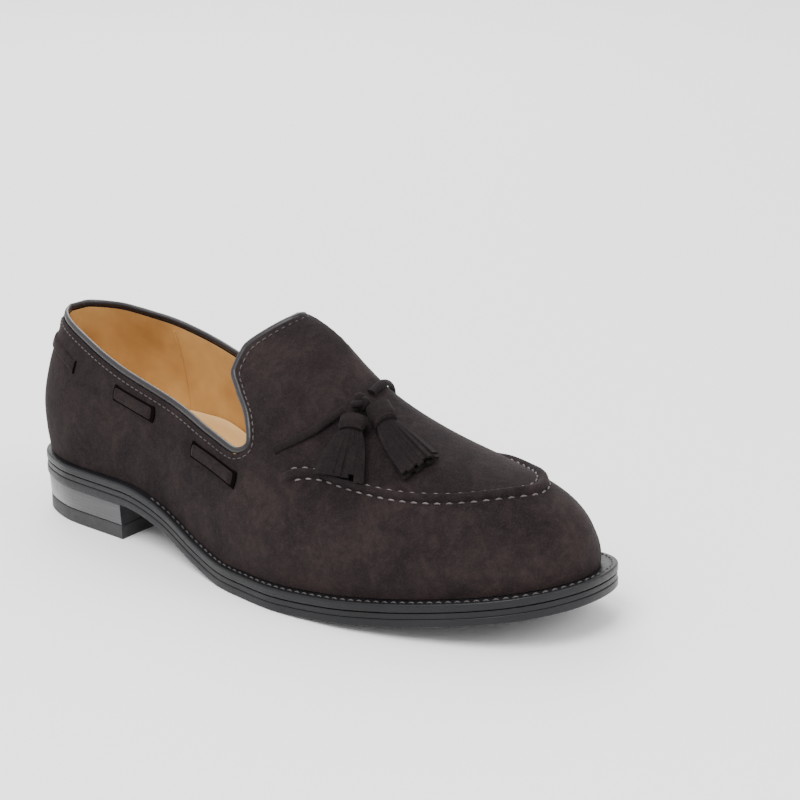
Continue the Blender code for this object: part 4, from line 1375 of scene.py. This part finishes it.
def inner_at(height, shift):
    """Points of the lining a height over the feather line, moved in by a shift."""
    inner, normals, foot = GRIDS["inner"], GRIDS["normals"], GRIDS["rows"]["foot"]
    ring = []
    for i in range(inner.shape[1]):
        z = foot[i, 2] + height
        heights = np.maximum.accumulate(inner[:, i, 2])
        k = min(int(np.searchsorted(heights, z)), len(heights) - 1)
        t = (z - heights[k - 1]) / max(heights[k] - heights[k - 1], 1e-9)
        ring.append(inner[k - 1, i] + (inner[k, i] - inner[k - 1, i]) * t
                    - normals[k, i] * shift)
    return np.array(ring)


def make_sock_edge():
    """The sock lining's edge, turned up the wall."""
    back, middle, front = SOCK_EDGE_FACES
    rows = [(height, back) for height in SOCK_EDGE_UP] + [(SOCK_EDGE_TOP, middle)]
    rows += [(height, front) for height in SOCK_EDGE_UP[:0:-1]]
    rows.append((SOCK_EDGE_UP[0], front + back))
    rings = np.array([inner_at(height, shift) for height, shift in rows])
    new_piece("sock_edge", rings.reshape(-1, 3),
              band_faces(len(rows), rings.shape[1], closed_rings=True),
              [FINISHES["sock"]], slot="sock_leather")


def make_lining_seam():
    """Upright seam of the lining on each side."""
    inner, normals = GRIDS["inner"], GRIDS["normals"]
    side, foot = GRIDS["rows"]["side"], GRIDS["rows"]["foot"]
    for word, which in (("lateral", LATERAL), ("medial", MEDIAL)):
        spots = np.where(side == which)[0]
        column = spots[np.argmin(np.abs(foot[spots, 0] - LINING_SEAM * SOLE_LENGTH))]
        path = inner[14:-3, column] - normals[14:-3, column] * 0.0001
        verts, faces = tube_mesh(path, LINING_SEAM_THICKNESS, -normals[14:-3, column], sides=8)
        new_piece(f"lining_seam_{word}", verts, faces, [FINISHES["lining"]],
                  slot="sock_leather")


def heel_ring(inset, height):
    """A ring round the heel, with the hollow of its breast."""
    steps = np.linspace(0, 1, 40)
    x = HEEL_LENGTH * (1 - np.cos(steps * math.pi / 2))
    narrow = 1 - 2 * inset / HEEL_LENGTH
    edges = []
    for side in (LATERAL, MEDIAL):
        y = centre(x) + side * breadth(side, x / SOLE_LENGTH) * narrow
        edges.append(points(inset + x * (1 - inset / HEEL_LENGTH), y, 0.0))
    lateral, medial = edges
    share = np.linspace(0, 1, 22)[1:-1, None]
    breast = lateral[-1] + (medial[-1] - lateral[-1]) * share
    breast[:, 0] -= (BREAST_HOLLOW * 4 * share * (1 - share))[:, 0]
    outline = np.concatenate([lateral, breast, medial[:0:-1]])
    return raised(outline, height)


def heel_block(name, node, rings, material, slot):
    """A heel layer from its rings."""
    count = len(rings[0])
    faces = band_faces(len(rings), count) + end_faces(len(rings), count)
    new_piece(name, np.concatenate(rings), faces, [FINISHES[material]], replaces=(node,),
              slot=slot)


def make_heel():
    """The heel's stack and its top lift."""
    def block(name, node, low, high, inset, material, slot):
        rings = []
        for side, height, up in ((HEEL_TAPER, low, 1), (inset, high, -1)):
            corner = heel_ring(side + HEEL_CORNER * 0.6, height)
            face = heel_ring(side, lambda x: height(x) + up * HEEL_CORNER)
            rings += [corner, face] if up > 0 else [face, corner]
        heel_block(name, node, rings, material, slot)
    block("heel_stack_block", "heel_stack", lambda x: LIFT_THICKNESS + CLEARANCE + 0 * x,
          lambda x: underside(x) - CLEARANCE, HEEL_TAPER / 2, "stack", "sole_leather")
    block("heel_lift_block", "top_lift", lambda x: 0 * x, lambda x: LIFT_THICKNESS + 0 * x,
          HEEL_TAPER, "lift", "lift_rubber")


# ---- stage

def make_stage():
    """Pale floor, soft lights and the camera."""
    width = 6.0
    verts = [(-width, -width, 0), (width, -width, 0), (width, width, 0), (-width, width, 0)]
    mesh = bpy.data.meshes.new("studio_floor")
    mesh.from_pydata(verts, [], [(0, 1, 2, 3)])
    floor = bpy.data.objects.new("studio_floor", mesh)
    bpy.context.collection.objects.link(floor)
    material = bpy.data.materials.new("white_floor")
    material.use_nodes = True
    surface = material.node_tree.nodes["Principled BSDF"]
    surface.inputs["Base Color"].default_value = (0.93, 0.93, 0.93, 1)
    surface.inputs["Roughness"].default_value = 0.8
    surface.inputs["Specular IOR Level"].default_value = 0.2
    mesh.materials.append(material)
    world = bpy.data.worlds.new("studio")
    world.use_nodes = True
    world.node_tree.nodes["Background"].inputs["Color"].default_value = (1, 1, 1, 1)
    world.node_tree.nodes["Background"].inputs["Strength"].default_value = 1.35
    bpy.context.scene.world = world
    for name, place, aim, size, power in (
            ("key_softbox", (0.2, -0.9, 1.5), (0, 0, 0.05), 1.1, 34.0),
            ("back_softbox", (-1.1, 0.9, 1.2), (0, 0, 0.05), 1.0, 22.0),
            ("front_softbox", (1.5, 0.3, 1.0), (0, 0, 0.05), 0.8, 12.0)):
        lamp = bpy.data.lights.new(name, "AREA")
        lamp.size = size
        lamp.energy = power
        light = bpy.data.objects.new(name, lamp)
        light.location = place
        light.rotation_euler = (Vector(aim) - Vector(place)).to_track_quat("-Z", "Y").to_euler()
        bpy.context.collection.objects.link(light)
    make_camera()


def make_camera():
    """The camera at the photograph's angle."""
    az, el = math.radians(CAMERA_AZIMUTH), math.radians(CAMERA_ELEVATION)
    back = Vector((math.sin(az) * math.cos(el), -math.cos(az) * math.cos(el), math.sin(el)))
    right = Vector((math.cos(az), math.sin(az), 0))
    up = back.cross(right)
    c, s = math.cos(math.radians(CAMERA_ROLL)), math.sin(math.radians(CAMERA_ROLL))
    right, up = c * right + s * up, c * up - s * right
    place = Vector(CAMERA_TARGET) + Vector(SHIFT.tolist()) + back * CAMERA_DISTANCE
    data = bpy.data.cameras.new("photo_camera")
    data.sensor_width = 36
    data.lens = CAMERA_LENS
    data.shift_x, data.shift_y = CAMERA_SHIFT
    camera = bpy.data.objects.new("photo_camera", data)
    camera.matrix_world = Matrix(((right.x, up.x, back.x, place.x),
                                  (right.y, up.y, back.y, place.y),
                                  (right.z, up.z, back.z, place.z), (0, 0, 0, 1)))
    bpy.context.collection.objects.link(camera)
    bpy.context.scene.camera = camera


# ---- add-on

def colour_setting(name, description, default):
    return bpy.props.FloatVectorProperty(name=name, description=description, default=default,
                                         subtype="COLOR", size=3, min=0.0, max=1.0)


class LOAFER_PG_looks(bpy.types.PropertyGroup):
    suede_dark: colour_setting("Suede", "Suede where its nap lies down", (0.0055, 0.0032, 0.0040))
    suede_light: colour_setting("Brushed suede", "Suede brushed up", (0.0200, 0.0132, 0.0125))
    suede_bloom: colour_setting("Pile", "Tips of the suede's pile", (0.0450, 0.0330, 0.0325))
    lining: colour_setting("Lining", "Lining leather", (0.56, 0.320, 0.110))
    lining_deep: colour_setting("Worn lining", "Lining where it is darker", (0.38, 0.190, 0.055))
    sole_edge: colour_setting("Sole edge", "Dyed edge of the sole", (0.0080, 0.0080, 0.0095))


class PieceOperator:
    bl_options = {"REGISTER", "UNDO"}


class LOAFER_OT_finishes(PieceOperator, bpy.types.Operator):
    """Make the suede, leather, edge and thread finishes"""
    bl_idname = "loafer.finishes"
    bl_label = "Finishes"

    def execute(self, context):
        make_finishes(context.scene.loafer_looks)
        return {"FINISHED"}


class LOAFER_OT_upper(PieceOperator, bpy.types.Operator):
    """Make the suede upper with its lining, piping and seams"""
    bl_idname = "loafer.upper"
    bl_label = "Upper"

    def execute(self, context):
        make_upper()
        make_binding()
        make_rim_stitches()
        make_seam_stitches()
        make_heel_tab()
        return {"FINISHED"}


class LOAFER_OT_laces(PieceOperator, bpy.types.Operator):
    """Make the collar lace, its slits, the thongs over the vamp and their knot"""
    bl_idname = "loafer.laces"
    bl_label = "Laces"

    def execute(self, context):
        make_quarter_laces()
        make_heel_lace()
        make_vamp_laces()
        make_knot()
        return {"FINISHED"}


class LOAFER_OT_tassels(PieceOperator, bpy.types.Operator):
    """Make the two fringed tassels"""
    bl_idname = "loafer.tassels"
    bl_label = "Tassels"

    def execute(self, context):
        for word, route in TASSEL_ROUTES.items():
            make_tassel(word, route)
        return {"FINISHED"}


class LOAFER_OT_sole(PieceOperator, bpy.types.Operator):
    """Make the welt, the layers of the sole, the heel and the sock lining"""
    bl_idname = "loafer.sole"
    bl_label = "Sole and heel"

    def execute(self, context):
        make_sole()
        make_welt_stitches()
        make_heel()
        make_sock()
        make_sock_edge()
        make_lining_seam()
        return {"FINISHED"}


class LOAFER_OT_stage(PieceOperator, bpy.types.Operator):
    """Set the pale floor, the soft lights and the camera"""
    bl_idname = "loafer.stage"
    bl_label = "Stage"

    def execute(self, context):
        make_stage()
        return {"FINISHED"}


STEPS = (LOAFER_OT_stage, LOAFER_OT_finishes, LOAFER_OT_upper, LOAFER_OT_laces,
         LOAFER_OT_tassels, LOAFER_OT_sole)


class LOAFER_PT_panel(bpy.types.Panel):
    bl_idname = "LOAFER_PT_panel"
    bl_label = "Tassel loafer"
    bl_space_type = "VIEW_3D"
    bl_region_type = "UI"
    bl_category = "Loafer"

    def draw(self, context):
        looks = context.scene.loafer_looks
        for name in looks.__annotations__:
            self.layout.prop(looks, name)
        for step in STEPS:
            self.layout.operator(step.bl_idname)


CLASSES = (LOAFER_PG_looks, *STEPS, LOAFER_PT_panel)


def register():
    for item in CLASSES:
        bpy.utils.register_class(item)
    bpy.types.Scene.loafer_looks = bpy.props.PointerProperty(type=LOAFER_PG_looks)


def unregister():
    del bpy.types.Scene.loafer_looks
    for item in reversed(CLASSES):
        bpy.utils.unregister_class(item)


def main():
    register()
    for step in STEPS:
        group, action = step.bl_idname.split(".")
        getattr(getattr(bpy.ops, group), action)()


if __name__ == "__main__":
    main()
